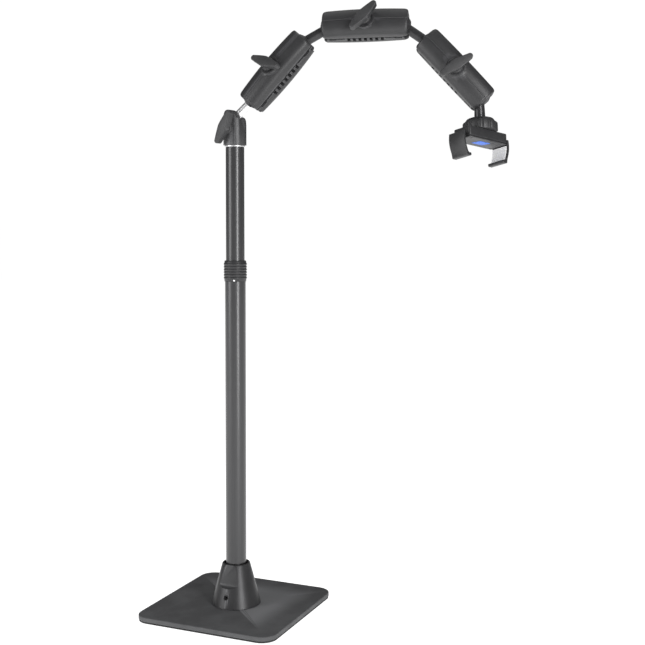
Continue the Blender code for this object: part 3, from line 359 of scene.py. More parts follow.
def mat_rubber(shade):
    """Sheet rubber: matt, with a fine cloth-like pattern of shallow pips."""
    g = Graph("mat_rubber")
    pips = g.cells(2.4 * MM)
    fine = g.noise(0.5 * MM, 3.0)
    tint = g.mottle(fine.between(0.3, 0.7), shade, 0.8, 1.5)
    rough = 0.72 + fine * 0.15
    normal = g.bump(pips.between(0.1, 0.4) + fine * 0.3, 0.2 * MM, 0.6)
    return g.coat(tint, rough, normal)


def silver_pad(shade):
    """Silver paint over soft plastic: tiny flakes and a border lightened by a painted highlight along with
    wear.
    """
    g = Graph("silver_pad")
    flakes = g.cells(0.35 * MM)
    cloud = g.noise(8 * MM, 2.0)
    tint = g.mottle(flakes.between(0.1, 0.5), shade, 1.12, 0.9)
    tint = g.mix(cloud.between(0.35, 0.7) * 0.5, tint, shaded(shade, 0.93))
    # painted highlight along with wear: convex edges are lightened in the colour
    tint = g.mix(g.edges(0.52, 0.58) * 0.6, tint, shaded(shade, 1.5))
    rough = 0.38 + flakes * 0.15
    normal = g.bump(flakes, 0.04 * MM, 0.3)
    return g.coat(tint, rough, normal, Metallic=0.1)


def blue_pad(shade):
    """Soft-touch blue pad with a fine pebbled grain."""
    g = Graph("blue_pad")
    grain = g.cells(0.7 * MM)
    fine = g.noise(0.4 * MM, 2.0)
    tint = g.mottle(grain.between(0.1, 0.5), shade, 1.1, 0.85)
    rough = 0.42 + fine * 0.18
    normal = g.bump(1 - grain, 0.07 * MM, 0.6)
    return g.coat(tint, rough, normal)


def plain_floor(shade):
    g = Graph("plain_floor")
    cloud = g.noise(0.6, 2.0)
    tint = g.mottle(cloud, shade, 0.995, 1.005)
    return g.finish(
        Base_Color=tint, Roughness=0.8, Specular_IOR_Level=0.2,
        Emission_Color=(1, 1, 1), Emission_Strength=0.88,
    )


LOOKS = {}


def make_looks(shades):
    """Every finish by its material slot."""
    LOOKS["powder_coat"] = powder_coat(shades.coat)
    LOOKS["cast_metal"] = cast_metal(shades.cast)
    LOOKS["tube_enamel"] = tube_enamel(shades.tube)
    LOOKS["arm_plastic"] = grained_plastic("arm_plastic", shades.plastic, 0.7 * MM, 0.06 * MM, 0.36, 0.1)
    LOOKS["knob_plastic"] = grained_plastic("knob_plastic", shades.knob, 1.1 * MM, 0.12 * MM, 0.46, 0.22)
    LOOKS["rod_metal"] = rod_metal(shades.rod)
    LOOKS["bright_steel"] = bright_steel(shades.steel)
    LOOKS["mat_rubber"] = mat_rubber(shades.rubber)
    LOOKS["silver_pad"] = silver_pad(shades.silver)
    LOOKS["blue_pad"] = blue_pad(shades.blue)


# Mesh building. Each maker gives an object in its own frame.


def add_object(name, mesh):
    obj = bpy.data.objects.new(name, mesh)
    bpy.context.scene.collection.objects.link(obj)
    return obj


def from_bmesh(name, bm):
    bmesh.ops.recalc_face_normals(bm, faces=bm.faces)
    mesh = bpy.data.meshes.new(name)
    bm.to_mesh(mesh)
    bm.free()
    return add_object(name, mesh)


def skin(name, rings, closed=False):
    """Rings of equal length skinned in order, capped at both ends or joined into a tube."""
    bm = bmesh.new()
    rows = [[bm.verts.new(point) for point in ring] for ring in rings]
    pairs = list(zip(rows, rows[1:])) + ([(rows[-1], rows[0])] if closed else [])
    for row, after in pairs:
        for i in range(len(row)):
            j = (i + 1) % len(row)
            bm.faces.new((row[i], row[j], after[j], after[i]))
    if not closed:
        bm.faces.new(rows[0])
        bm.faces.new(rows[-1])
    bmesh.ops.remove_doubles(bm, verts=bm.verts, dist=0.001 * MM)
    return from_bmesh(name, bm)


def turned(name, profile, sides=96, axis="Z"):
    """A profile of (radius, height) points turned round an axis. It closes on itself where it
    misses the axis, and is capped by its end points where it starts and ends on it."""
    open_ends = profile[0][0] == 0 and profile[-1][0] == 0
    rings = []
    for radius, height in profile:
        ring = []
        for i in range(sides):
            turn = 2 * math.pi * i / sides
            reach = max(radius, 0.002 * MM)
            x, y = reach * math.cos(turn), reach * math.sin(turn)
            ring.append({"X": (height, x, y), "Y": (-x, height, y), "Z": (x, y, height)}[axis])
        rings.append(ring)
    return skin(name, rings, not open_ends)


def prism(name, outline, low, high):
    bm = bmesh.new()
    face = bm.faces.new([bm.verts.new((x, y, low)) for x, y in outline])
    raised = bmesh.ops.extrude_face_region(bm, geom=[face])
    moved = [v for v in raised["geom"] if isinstance(v, bmesh.types.BMVert)]
    bmesh.ops.translate(bm, verts=moved, vec=(0, 0, high - low))
    return from_bmesh(name, bm)


def upright(name, outline, low, high):
    """A prism along Y from an outline in the X-Z plane."""
    made = prism(name, [(x, -z) for x, z in outline], low, high)
    made.data.transform(Matrix.Rotation(-QUARTER, 4, "X"))
    return made


def block(name, low, high):
    bm = bmesh.new()
    size = Vector(high) - Vector(low)
    middle = (Vector(high) + Vector(low)) / 2
    bmesh.ops.create_cube(bm, size=1, matrix=Matrix.Translation(middle) @ Matrix.Diagonal((*size, 1)))
    return from_bmesh(name, bm)


def drum(name, radius, low, high, axis="Z", sides=64):
    return turned(name, [(0, low), (radius, low), (radius, high), (0, high)], sides, axis)


def globe(name, radius, centre=(0, 0, 0)):
    bm = bmesh.new()
    place = Matrix.Translation(centre)
    bmesh.ops.create_uvsphere(bm, u_segments=48, v_segments=24, radius=radius, matrix=place)
    return from_bmesh(name, bm)


def arc(centre, radius, start, end, steps):
    turns = [start + (end - start) * i / steps for i in range(steps + 1)]
    return [(centre[0] + radius * math.cos(t), centre[1] + radius * math.sin(t)) for t in turns]


def rounded(length_x, length_y, corner, steps=12):
    """Outline of a rectangle with round corners."""
    reach_x, reach_y = length_x / 2 - corner, length_y / 2 - corner
    outline = []
    for i, (x, y) in enumerate(((1, 1), (-1, 1), (-1, -1), (1, -1))):
        outline += arc((x * reach_x, y * reach_y), corner, i * QUARTER, (i + 1) * QUARTER, steps)
    return outline


def soften(points, rounds=2, closed=True):
    """Cuts every corner of an outline, which rounds it."""
    for _ in range(rounds):
        after = points[1:] + points[:1] if closed else points[1:]
        cut_points = []
        for a, b in zip(points, after):
            a, b = Vector(a), Vector(b)
            cut_points += [tuple(a.lerp(b, 0.25)), tuple(a.lerp(b, 0.75))]
        points = cut_points if closed else [points[0]] + cut_points[1:-1] + [points[-1]]
    return points


def fan(name, radius, reach, low, high):
    """The space a rod sweeps about Z between two angles from +X."""
    outline = arc((0, 0), radius, high + QUARTER, low + 3 * QUARTER, 12)
    outline += arc((reach * math.cos(low), reach * math.sin(low)), radius, low - QUARTER, low, 1)[:1]
    outline += arc((0, 0), reach + radius, low, high, 12)
    outline += arc((reach * math.cos(high), reach * math.sin(high)), radius, high + QUARTER, high, 1)[:1]
    return prism(name, outline, -radius, radius)


def combine(obj, tools, operation="DIFFERENCE"):
    """Takes tools away from a piece, or adds them to it, in one step. The tools are used up."""
    group = bpy.data.collections.new("tools")
    bpy.context.scene.collection.children.link(group)
    for tool in tools:
        group.objects.link(tool)
    step = obj.modifiers.new("shape", "BOOLEAN")
    step.solver = "EXACT"
    step.operation = operation
    step.operand_type = "COLLECTION"
    step.collection = group
    bake_shape(obj)
    for tool in tools:
        bpy.data.objects.remove(tool, do_unlink=True)
    bpy.data.collections.remove(group)
    if not obj.data.polygons:
        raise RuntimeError(obj.name + " lost its faces in a Boolean")
    return obj


def bake_shape(obj):
    """Applies the modifiers into the mesh."""
    bpy.context.view_layer.update()
    depsgraph = bpy.context.evaluated_depsgraph_get()
    mesh = bpy.data.meshes.new_from_object(obj.evaluated_get(depsgraph))
    old = obj.data
    obj.modifiers.clear()
    obj.data = mesh
    bpy.data.meshes.remove(old)


def round_edges(obj, width, segments=3, angle=32):
    step = obj.modifiers.new("edges", "BEVEL")
    step.width = width
    step.segments = segments
    step.limit_method = "ANGLE"
    step.angle_limit = math.radians(angle)
    step.use_clamp_overlap = True
    step.miter_outer = "MITER_ARC"
    bake_shape(obj)
    return obj


TURNED_LOOKS = ("rod_metal", "bright_steel")  # their rings follow the piece's own axis


def settle(obj, look, body, matrix, *nodes, sharp=38):
    """Gives a piece its finish, its place, the body it rides on and the nodes it stands for."""
    obj.data.materials.clear()
    obj.data.materials.append(LOOKS[look])
    obj.data.shade_smooth()
    obj.data.set_sharp_from_angle(angle=math.radians(sharp))
    if look in TURNED_LOOKS:
        obj.matrix_world = matrix
    else:
        obj.data.transform(matrix)
    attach(obj, body)
    if nodes:
        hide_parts(*nodes)
    return obj


def repaint(look, *nodes):
    """Gives carried-over frame nodes a finish."""
    for name in nodes:
        mesh = frame["nodes"][name].data
        mesh.materials.clear()
        mesh.materials.append(LOOKS[look])


def half_width(node):
    """Half the width of a frame node, which is a round one's radius."""
    low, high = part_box(node)
    return (high.x - low.x) / 2


# Base and pole

MAT_RIM = 0.6 * MM
BOLT_HOLE = 4.3 * MM
BOLT_HEAD_HOLE = 11 * MM
SCREW_RADIUS = 3 * MM
SCREW_HEIGHT = 23 * MM
KEY_SIZE = 1.7 * MM


class STAND_OT_base(bpy.types.Operator):
    """Base plate, rubber mat and the bolt that holds the pole socket"""

    bl_idname = "stand.base"
    bl_label = "Base"

    def execute(self, context):
        sizes = context.scene.stand_sizes
        low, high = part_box("base_plate")
        side = high.x - low.x
        plate = prism("plate", rounded(side, side, sizes.plate_corner, 20), low.z, high.z)
        round_edges(plate, sizes.plate_rim, 5)
        hole = drum("hole", BOLT_HEAD_HOLE, low.z - MM, low.z + 3.8 * MM)
        bore = drum("bore", BOLT_HOLE, low.z, high.z + MM)
        combine(plate, [hole, bore])
        settle(plate, "powder_coat", "base", Matrix(), "base_plate")
        low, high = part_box("base_mat")
        side = high.x - low.x
        mat = prism("rubber_mat", rounded(side, side, sizes.plate_corner - MAT_RIM, 20), low.z, high.z)
        round_edges(mat, 0.4 * MM, 2)
        settle(mat, "mat_rubber", "base", Matrix(), "base_mat")
        repaint("bright_steel", "base_bolt", "base_washer")
        return {"FINISHED"}


class STAND_OT_socket(bpy.types.Operator):
    """Conical pole socket with its flat and its set screw"""

    bl_idname = "stand.socket"
    bl_label = "Pole socket"

    facet_depth = 17.4 * MM
    facet_slope = math.radians(9.4)
    facet_rise = 25 * MM
    lip_width = 2.2 * MM
    neck_radius = 18.75 * MM
    floor_thick = 11.7 * MM
    scoop = 7 * MM
    facet_reach = (30 * MM, 60 * MM)  # of the cutter, outwards and upwards

    def execute(self, context):
        low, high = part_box("pole_socket")
        tube = half_width("lower_tube")
        foot, neck = high.x, self.neck_radius
        floor = low.z + self.floor_thick
        lip, inner = tube + self.lip_width, tube + GAP
        profile = [(0, low.z), (foot - 0.8 * MM, low.z), (foot - 0.1 * MM, low.z + 0.5 * MM)]
        profile += [(foot - 0.35 * MM, low.z + 1.3 * MM), (neck + 0.4 * MM, high.z - 1.4 * MM)]
        profile += arc((neck - 1.1 * MM, high.z - 1.1 * MM), 1.1 * MM, math.radians(12), QUARTER, 5)
        profile += [(lip + 0.3 * MM, high.z), (lip, high.z - 0.3 * MM), (lip, high.z - 4.4 * MM)]
        profile += [(inner, high.z - 4.4 * MM), (inner, floor), (0, floor)]
        cone = turned("socket_cone", profile, 128)
        ledge = low.z + self.facet_rise - GAP
        depth = self.facet_depth + (high.z - ledge) * math.tan(self.facet_slope)
        out, up = self.facet_reach
        scoop = [(0, up), (0, self.scoop)]
        scoop += arc((-self.scoop, self.scoop), self.scoop, 0, -QUARTER, 12)[1:]
        scoop += [(-out, 0), (-out, up)]
        facet = upright("facet", scoop, -foot, foot)
        facet.matrix_world = (
            Matrix.Translation((0, -depth, ledge))
            @ Matrix.Rotation(-self.facet_slope, 4, "X")
            @ Matrix.Rotation(QUARTER, 4, "Z")
        )
        screw_hole = drum("screw_hole", SCREW_RADIUS + GAP, -foot, -tube, "Y", 32)
        screw_hole.location.z = SCREW_HEIGHT
        thread = drum("thread", BOLT_HOLE, 0, low.z + 9 * MM)
        combine(cone, [facet, screw_hole, thread])
        round_edges(cone, 0.45 * MM, 3, 24)
        settle(cone, "cast_metal", "base", Matrix(), "pole_socket", sharp=50)
        near, far = (corner.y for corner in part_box("set_screw"))
        screw_profile = [(0, near), (SCREW_RADIUS - 0.5 * MM, near), (SCREW_RADIUS, near + 0.5 * MM)]
        screw = turned("socket_screw", screw_profile + [(SCREW_RADIUS, far), (0, far)], 32, "Y")
        combine(screw, [drum("key", KEY_SIZE, near - MM, near + 3 * MM, "Y", 6)])
        settle(screw, "rod_metal", "base", lifted(SCREW_HEIGHT), "set_screw")
        return {"FINISHED"}


def tube_profile(outer, inner, low, high, edge):
    """Closed profile of a tube with eased rims."""
    return [
        (outer, low + edge), (outer, high - edge), (outer - edge, high), (inner + edge, high),
        (inner, high - edge), (inner, low + edge), (inner + edge, low), (outer - edge, low),
    ]


class STAND_OT_pole(bpy.types.Operator):
    """Lower and upper tubes with their inner bushes"""

    bl_idname = "stand.pole"
    bl_label = "Pole"

    def execute(self, context):
        for name, body, wall in (("lower_tube", "base", 1.0 * MM), ("upper_tube", "mast", 1.2 * MM)):
            low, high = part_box(name)
            outer = half_width(name)
            tube = turned(name + "_skin", tube_profile(outer, outer - wall, low.z, high.z, 0.25 * MM), 96)
            settle(tube, "tube_enamel", body, Matrix(), name)
        repaint("arm_plastic", "lock_bush", "tube_end_bush")
        return {"FINISHED"}


class STAND_OT_collar(bpy.types.Operator):
    """Ribbed twist collar and its pin"""

    bl_idname = "stand.collar"
    bl_label = "Twist collar"

    ribs = 6
    pitch = 3.7 * MM

    def execute(self, context):
        depth = context.scene.stand_sizes.rib_depth
        low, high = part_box("twist_collar")
        outer = half_width("twist_collar")
        tube = half_width("lower_tube") + RUN
        pole = half_width("upper_tube") + RUN
        middle = (low.z + high.z) / 2
        span = self.ribs * self.pitch
        profile = [(outer - 1.5 * MM, low.z), (outer - 0.95 * MM, low.z + 0.35 * MM)]
        steps = self.ribs * 12
        for i in range(steps + 1):
            share = i / steps
            wave = 0.5 - 0.5 * math.cos(2 * math.pi * self.ribs * share)
            profile.append((outer - depth * (1 - wave**0.7), middle - span / 2 + span * share))
        profile += [(outer - 1.1 * MM, high.z - 0.5 * MM), (outer - 1.7 * MM, high.z)]
        profile += [(pole + 0.3 * MM, high.z), (pole, high.z - 0.3 * MM), (pole, high.z - 2.5 * MM)]
        profile += [(tube, high.z - 2.5 * MM), (tube, low.z + 0.3 * MM), (tube + 0.3 * MM, low.z)]
        collar = turned("grip_collar", profile, 96)
        settle(collar, "arm_plastic", "twist_collar", Matrix(), "twist_collar", sharp=60)
        low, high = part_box("collar_pin")
        centre = (low + high) / 2
        out = Vector((centre.x, centre.y, 0)).normalized()
        reach = 1.3 * MM
        start, end = tube + GAP, outer + 0.9 * MM
        pin_profile = [(0, start), (reach, start), (reach, end - 0.5 * MM)]
        pin_profile += [(0.7 * reach, end - 0.12 * MM), (0, end)]
        pin = turned("grip_pin", pin_profile, 24, "X")
        place = basis(Vector((0, 0, centre.z)), out, UP)
        settle(pin, "bright_steel", "twist_collar", place, "collar_pin")
        return {"FINISHED"}


# Clamp head

HEAD_RADIUS = 15.5 * MM
HEAD_DOME = 10.5 * MM
HEAD_SLOT = 2 * MM
REAR_DROP = 8 * MM
HEAD_BOLT = 2.5 * MM
SMALL_BALL = 8 * MM
HEAD_SLOT_BACK = 3.2 * MM
HEAD_SEAMS = ((-8.2 * MM, 1.1 * MM), (9.6 * MM, 0.7 * MM))  # distance from the middle, width
SEAM_DEPTH = 0.7 * MM
SHAFT_RADIUS = 5.5 * MM
FOLD = (-math.radians(14), math.radians(38))
BALL = 12.7 * MM
ROD_RADIUS = 6.5 * MM
SOCKET_BALL = 10 * MM
CLEAR = 0.6 * MM


def head_half(name, side, top, low, swing):
    """One jaw of the head, in a frame with Z up and Y along the knob's axis."""
    wide = 2 * HEAD_RADIUS
    jaw = drum(name, HEAD_RADIUS, low, top + MM, sides=96)
    centre = top - HEAD_DOME
    outline = [(HEAD_RADIUS, low - MM), (HEAD_RADIUS, centre - 5 * MM)]
    outline += arc((0, centre), HEAD_DOME, 0, math.pi, 32)
    outline += [(-HEAD_RADIUS, centre - 5 * MM), (-HEAD_RADIUS, low - MM)]
    shoulders = soften(outline, 2, closed=False)
    keep = upright("keep", shoulders, -wide, wide)
    combine(jaw, [keep], "INTERSECT")
    ends = sorted((-side * wide, side * HEAD_SLOT / 2 - HEAD_SLOT_BACK))
    half = block("half", (-wide, ends[0], low - 2 * MM), (wide, ends[1], top + 2 * MM))
    pocket = globe("pocket", SMALL_BALL + CLEAR)
    bore = drum("bore", HEAD_BOLT + RUN, -wide, wide, "Y", 32)
    bore.location.z = spot("head_knob_turn").z - HEAD_BALL.z
    sweep = fan("sweep", SHAFT_RADIUS + CLEAR, 3 * HEAD_RADIUS, *FOLD)
    sweep.matrix_world = swing
    tools = [half, pocket, bore, sweep]
    if side < 0:
        recess = drum("recess", 2 * HEAD_BOLT + RUN, -wide, 2.6 * MM - HEAD_RADIUS, "Y", 32)
        recess.location.z = bore.location.z
        tools.append(recess)
    else:
        for x, width in HEAD_SEAMS:
            seam = block("seam", (x - width / 2, 0, low - 2 * MM), (x + width / 2, wide, -1.5 * MM))
            seam.location.y = math.sqrt(HEAD_RADIUS**2 - x**2) - SEAM_DEPTH
            tools.append(seam)
    combine(jaw, tools)
    return round_edges(jaw, 0.55 * MM, 3, 35)


class STAND_OT_head(bpy.types.Operator):
    """Two-jaw clamp head with its ring and bolt"""

    bl_idname = "stand.head"
    bl_label = "Clamp head"

    def execute(self, context):
        knob_axis = direction("head_knob_turn")
        place = basis(HEAD_BALL, knob_axis.cross(UP), UP)
        shaft = basis(HEAD_BALL, ARM_STARTS[0] - HEAD_BALL, ARC_NORMAL)
        swing = place.inverted() @ shaft
        low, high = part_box("head_ring")
        foot = high.z + GAP - HEAD_BALL.z
        front = head_half("head_front", 1, HEAD_DOME, foot, swing)
        tube = half_width("upper_tube")
        spigot = drum("spigot", tube - 1.6 * MM, foot - 24 * MM, foot + 2 * MM, sides=48)
        combine(front, [spigot], "UNION")
        settle(front, "cast_metal", "head", place, "head_front_jaw", sharp=50)
        rear = head_half("head_rear", -1, HEAD_DOME - REAR_DROP, foot, swing)
        settle(rear, "cast_metal", "head", place, "head_rear_jaw", sharp=50)
        outer, inner = half_width("head_ring"), tube - 1.2 * MM
        ring = turned("pole_ring", tube_profile(outer, inner, low.z, high.z, 0.4 * MM), 96)
        settle(ring, "bright_steel", "mast", Matrix(), "head_ring")
        repaint("bright_steel", "head_bolt")
        return {"FINISHED"}


# Rods with balls


def rod_profile(reach, low_ball, high_ball, low_radius, high_radius, fillet):
    """Ball, waist and ball as one smooth profile of (radius, distance)."""
    lean_low = math.asin(min((low_radius + 0.4 * fillet) / low_ball, 1))
    lean_high = math.asin(min((high_radius + 0.4 * fillet) / high_ball, 1))
    profile = [(low_ball * math.sin(t), -low_ball * math.cos(t)) for t in steps(0, math.pi - lean_low, 22)]
    start, end = low_ball * math.cos(lean_low), reach - high_ball * math.cos(lean_high)
    for share in steps(0, 1, 14):
        near = max(1 - share * (end - start) / fillet, 0)
        far = max(1 - (1 - share) * (end - start) / fillet, 0)
        radius = low_radius + (high_radius - low_radius) * share + 0.4 * fillet * (near**2 + far**2)
        profile.append((radius, start + (end - start) * share))
    for t in steps(lean_high, math.pi, 22):
        profile.append((high_ball * math.sin(t), reach - high_ball * math.cos(t)))
    profile[0], profile[-1] = (0, -low_ball), (0, reach + high_ball)
    return profile


def steps(low, high, count):
    return [low + (high - low) * i / count for i in range(count + 1)]


class STAND_OT_rods(bpy.types.Operator):
    """Head shaft, double-ball links and the neck over the holder"""

    bl_idname = "stand.rods"
    bl_label = "Rods"

    flare = 7.2 * MM
    fillet = 1.5 * MM

    def execute(self, context):
        link_radii = (BALL, BALL, ROD_RADIUS, ROD_RADIUS)
        shaft_radii = (SMALL_BALL, BALL, SHAFT_RADIUS, SHAFT_RADIUS)
        neck_radii = (BALL, SOCKET_BALL, ROD_RADIUS, self.flare)
        rows = [
            ("head_shaft", HEAD_BALL, ARM_STARTS[0], shaft_radii, "bright_steel"),
            ("link_1", ARM_ENDS[0], ARM_STARTS[1], link_radii, "rod_metal"),
            ("link_2", ARM_ENDS[1], ARM_STARTS[2], link_radii, "rod_metal"),
            ("neck", ARM_ENDS[2], HOLDER_BALL, neck_radii, "rod_metal"),
        ]
        for name, start, end, radii, look in rows:
            reach = (end - start).length
            rod = turned(name + "_rod", rod_profile(reach, *radii, self.fillet), 64, "X")
            settle(rod, look, name, basis(start, end - start, ARC_NORMAL), name, sharp=70)
        return {"FINISHED"}


# Arms

SHOULDER = 10.5 * MM
SHOULDER_WIDTH = 15.6 * MM
CORNER = 5.5 * MM
NOSE_WALL = 1.8 * MM
PARTING = 1.6 * MM
FRONT_END = 16 * MM
REAR_END = 15.6 * MM
WALL_END = 5 * MM
WALL_MIDDLE = 9 * MM
BEND_IN = math.radians(50)
BEND_OUT = math.radians(24)
SWEEP_SPARE = 0.4 * MM
BEND_SPARE = math.radians(1)
CREASE_DEPTH = 0.5 * MM
CREASE_WIDTH = 0.8 * MM
CREASE_START = 13 * MM
CREASE_RUN = 6 * MM
SLOTS = 7
SLOT_PITCH = 7.4 * MM
SLOT_DROP = 3.9 * MM
SLOT_SIZE = (4 * MM, 8.4 * MM, 1.2 * MM)
SLOT_DEPTH = 6 * MM
END_NOTCHES = (  # inset from the ball's centre, drop, (length, height, corner), depth
    (2.5 * MM, 1.5 * MM, (10 * MM, 4.4 * MM, 1.4 * MM), 5 * MM),
    (12 * MM, 0.9 * MM, (14 * MM, 2.2 * MM, 0.6 * MM), 4 * MM),
)
BOSS = 13 * MM
ARM_BORE = 2.9 * MM
BOLT_RECESS = 4.9 * MM
BOLT_SINK = 3.3 * MM
SPRING_BORE = 5.4 * MM
SPRING_HALF = 6.4 * MM
SHELL_REACH = 40 * MM  # past both shells, from the arm's axis


def barrel(x, end, middle):
    share = min(abs(x) / (ARM_LENGTH / 2 + SHOULDER), 1)
    return middle + (end - middle) * share**2


def arm_stations(half_width):
    """(distance from the middle, half width, height factor, nose radius) along half an arm."""
    end = ARM_LENGTH / 2 + SHOULDER
    rows = [(x, half_width, 1.0, 0) for x in steps(0, end - CORNER, 9)]
    for t in steps(0.12, 1, 8):
        width = SHOULDER_WIDTH + (half_width - SHOULDER_WIDTH) * math.sqrt(max(1 - t * t, 0))
        ease = 1 - 0.055 * max(t - 0.55, 0) ** 2 / 0.2
        rows.append((end - CORNER + CORNER * t, width, ease, 0))
    nose = BALL + CLEAR + NOSE_WALL
    for t in steps(0, 1, 5):
        reach = SHOULDER + 0.15 * MM + (nose - SHOULDER - 0.35 * MM) * t
        radius = math.sqrt(max(nose**2 - reach**2, 0))
        rows.append((ARM_LENGTH / 2 + reach, radius, 1.0, radius))
    return rows


def front_ring(x, half, ridge, wall):
    """Section of the front shell: two walls under an arch, with a fine crease towards the ends."""
    low, rise = PARTING / 2, ridge - wall
    crease = CREASE_DEPTH * min(max((x - CREASE_START) / CREASE_RUN, 0), 1)
    side = [(half, low), (half, low + 0.5 * (wall - low))]
    for t in steps(0, math.radians(84), 12):
        side.append((half * math.cos(t) ** 0.92, wall + rise * math.sin(t) ** 1.05))
    side += [(CREASE_WIDTH, ridge), (0.4 * CREASE_WIDTH, ridge - crease)]
    return [(x, y, z) for y, z in side + [(-y, z) for y, z in reversed(side)]]


def rear_ring(x, half, depth):
    """Section of the rear shell: a round-backed tub."""
    low = -PARTING / 2
    ring = [(half, low)]
    for t in steps(0, math.pi, 26):
        y = half * math.copysign(abs(math.cos(t)) ** 0.6, math.cos(t))
        ring.append((y, low - (depth + low) * (0.22 + 0.78 * max(math.sin(t), 0) ** 0.7)))
    ring.append((-half, low))
    return [(x, y, z) for y, z in ring]


def shell_rings(front, sizes):
    half = []
    for x, width, ease, nose in arm_stations(sizes.arm_half_width):
        if front:
            ridge = nose or barrel(x, FRONT_END, sizes.arm_height) * ease
            wall = max(0.3 * nose if nose else barrel(x, WALL_END, WALL_MIDDLE), PARTING)
            half.append((x, front_ring(x, width, max(ridge, 2 * PARTING), wall)))
        else:
            depth = nose or barrel(x, REAR_END, sizes.arm_depth) * ease
            half.append((x, rear_ring(x, width, max(depth, 2 * PARTING))))
    mirrored = [[(-x, y, z) for x, y, z in ring] for _, ring in reversed(half[1:])]
    rings = mirrored + [ring for _, ring in half]
    return [[(x + ARM_LENGTH / 2, y, z) for x, y, z in ring] for ring in rings]


def arm_cutters(number, place):
    """What both shells have cut out: the bolt's and the spring's bores, two ball pockets and
    the space that each rod sweeps."""
    normal = place.to_3x3().inverted() @ ARC_NORMAL
    roll = math.atan2(-normal.y, normal.z)
    reach = 2 * BALL + SHOULDER
    tools = [drum("bore", ARM_BORE, -SHELL_REACH, SHELL_REACH, sides=32)]
    tools.append(drum("spring", SPRING_BORE, -SPRING_HALF, SPRING_HALF, sides=32))
    for tool in tools:
        tool.location.x = ARM_LENGTH / 2
    for i, x in enumerate((0, ARM_LENGTH)):
        tools.append(globe("pocket", BALL + CLEAR, (x, 0, 0)))
        radius = (SHAFT_RADIUS if i == 0 and number == 1 else ROD_RADIUS) + CLEAR + SWEEP_SPARE
        bend_in, bend_out = BEND_IN + BEND_SPARE, BEND_OUT + BEND_SPARE
        low, high = (-bend_in, bend_out) if i else (math.pi - bend_out, math.pi + bend_in)
        sweep = fan("sweep", radius, reach, low, high)
        sweep.matrix_world = Matrix.Translation((x, 0, 0)) @ Matrix.Rotation(roll, 4, "X")
        tools.append(sweep)
    return tools


def edge_slot(place, size, depth):
    """A round-ended slot cut into a side wall."""
    slot = prism("slot", rounded(*size, 4), -depth, depth)
    slot.matrix_world = Matrix.Translation(place) @ Matrix.Rotation(QUARTER, 4, "X")
    return slot


def side_notches(half_width):
    """Vent slots along both parting edges, and two longer notches near each end of them."""
    tools = []
    for side in (-1, 1):
        edge = side * half_width
        for i in range(SLOTS):
            x = ARM_LENGTH / 2 + (i - (SLOTS - 1) / 2) * SLOT_PITCH
            tools.append(edge_slot((x, edge, -SLOT_DROP), SLOT_SIZE, SLOT_DEPTH))
        for end in (-1, 1):
            for inset, drop, size, depth in END_NOTCHES:
                x = ARM_LENGTH / 2 + end * (ARM_LENGTH / 2 - inset)
                tools.append(edge_slot((x, edge, -drop), size, depth))
    return tools


def boss_profile(low, top):
    """Raised round seat that the knob turns on."""
    profile = [(0, low), (BOSS, low)]
    profile += arc((BOSS - 0.9 * MM, top - 0.9 * MM), 0.9 * MM, 0, QUARTER, 5)
    return profile + [(BOSS - 2.6 * MM, top), (BOSS - 2.9 * MM, top - 0.3 * MM), (0, top - 0.3 * MM)]


class STAND_OT_arms(bpy.types.Operator):
    """Front and rear shells of the three arms"""

    bl_idname = "stand.arms"
    bl_label = "Arms"

    def execute(self, context):
        sizes = context.scene.stand_sizes
        for number, start, end in zip((1, 2, 3), ARM_STARTS, ARM_ENDS):
            arm = f"arm_{number}"
            place = basis(start, end - start, direction(arm + "_knob_turn"))
            front = skin(arm + "_front", shell_rings(True, sizes))
            boss = turned("boss", boss_profile(8 * MM, sizes.arm_height + 0.5 * MM), 64)
            boss.location.x = ARM_LENGTH / 2
            combine(front, [boss], "UNION")
            combine(front, arm_cutters(number, place))
            round_edges(front, 0.45 * MM, 2, 40)
            settle(front, "arm_plastic", arm, place, arm + "_front_shell", sharp=40)
            rear = skin(arm + "_rear_tub", shell_rings(False, sizes))
            floor = BOLT_SINK - sizes.arm_depth
            recess = drum("recess", BOLT_RECESS, -SHELL_REACH, floor, sides=48)
            recess.location.x = ARM_LENGTH / 2
            combine(rear, arm_cutters(number, place) + side_notches(sizes.arm_half_width) + [recess])
            round_edges(rear, 0.35 * MM, 2, 40)
            settle(rear, "arm_plastic", arm + "_rear", place, arm + "_rear_shell", sharp=40)
            repaint("bright_steel", arm + "_bolt", arm + "_spring")
        return {"FINISHED"}


# Wing knobs

WING_TIP = 3.8 * MM
WING_RISE = 3.2 * MM
HUB_RADIUS = 9 * MM
HUB_HEIGHT = 4.8 * MM
KNOB_TOP = 12.8 * MM
KNOB_TURNS = {
    "arm_1_knob": math.radians(-72), "arm_2_knob": math.radians(49), "arm_3_knob": math.radians(79),
}


def wing_outline(reach, width):
    """A leaf: widest at the middle, easing to a round tip at each end."""
    tip = reach / 2 - WING_TIP
    right = arc((tip, 0), WING_TIP, math.radians(-68), math.radians(68), 10)
    top = []
    for t in steps(0.1, 1.9, 14):
        share = abs(1 - t)
        x = (1 - t) * (tip + 0.3 * WING_TIP)
        y = width / 2 + (0.93 * WING_TIP - width / 2) * share**1.25
        top.append((x, y))
    left = [(-x, -y) for x, y in right]
    bottom = [(-x, -y) for x, y in top]
    return right + top + left + bottom


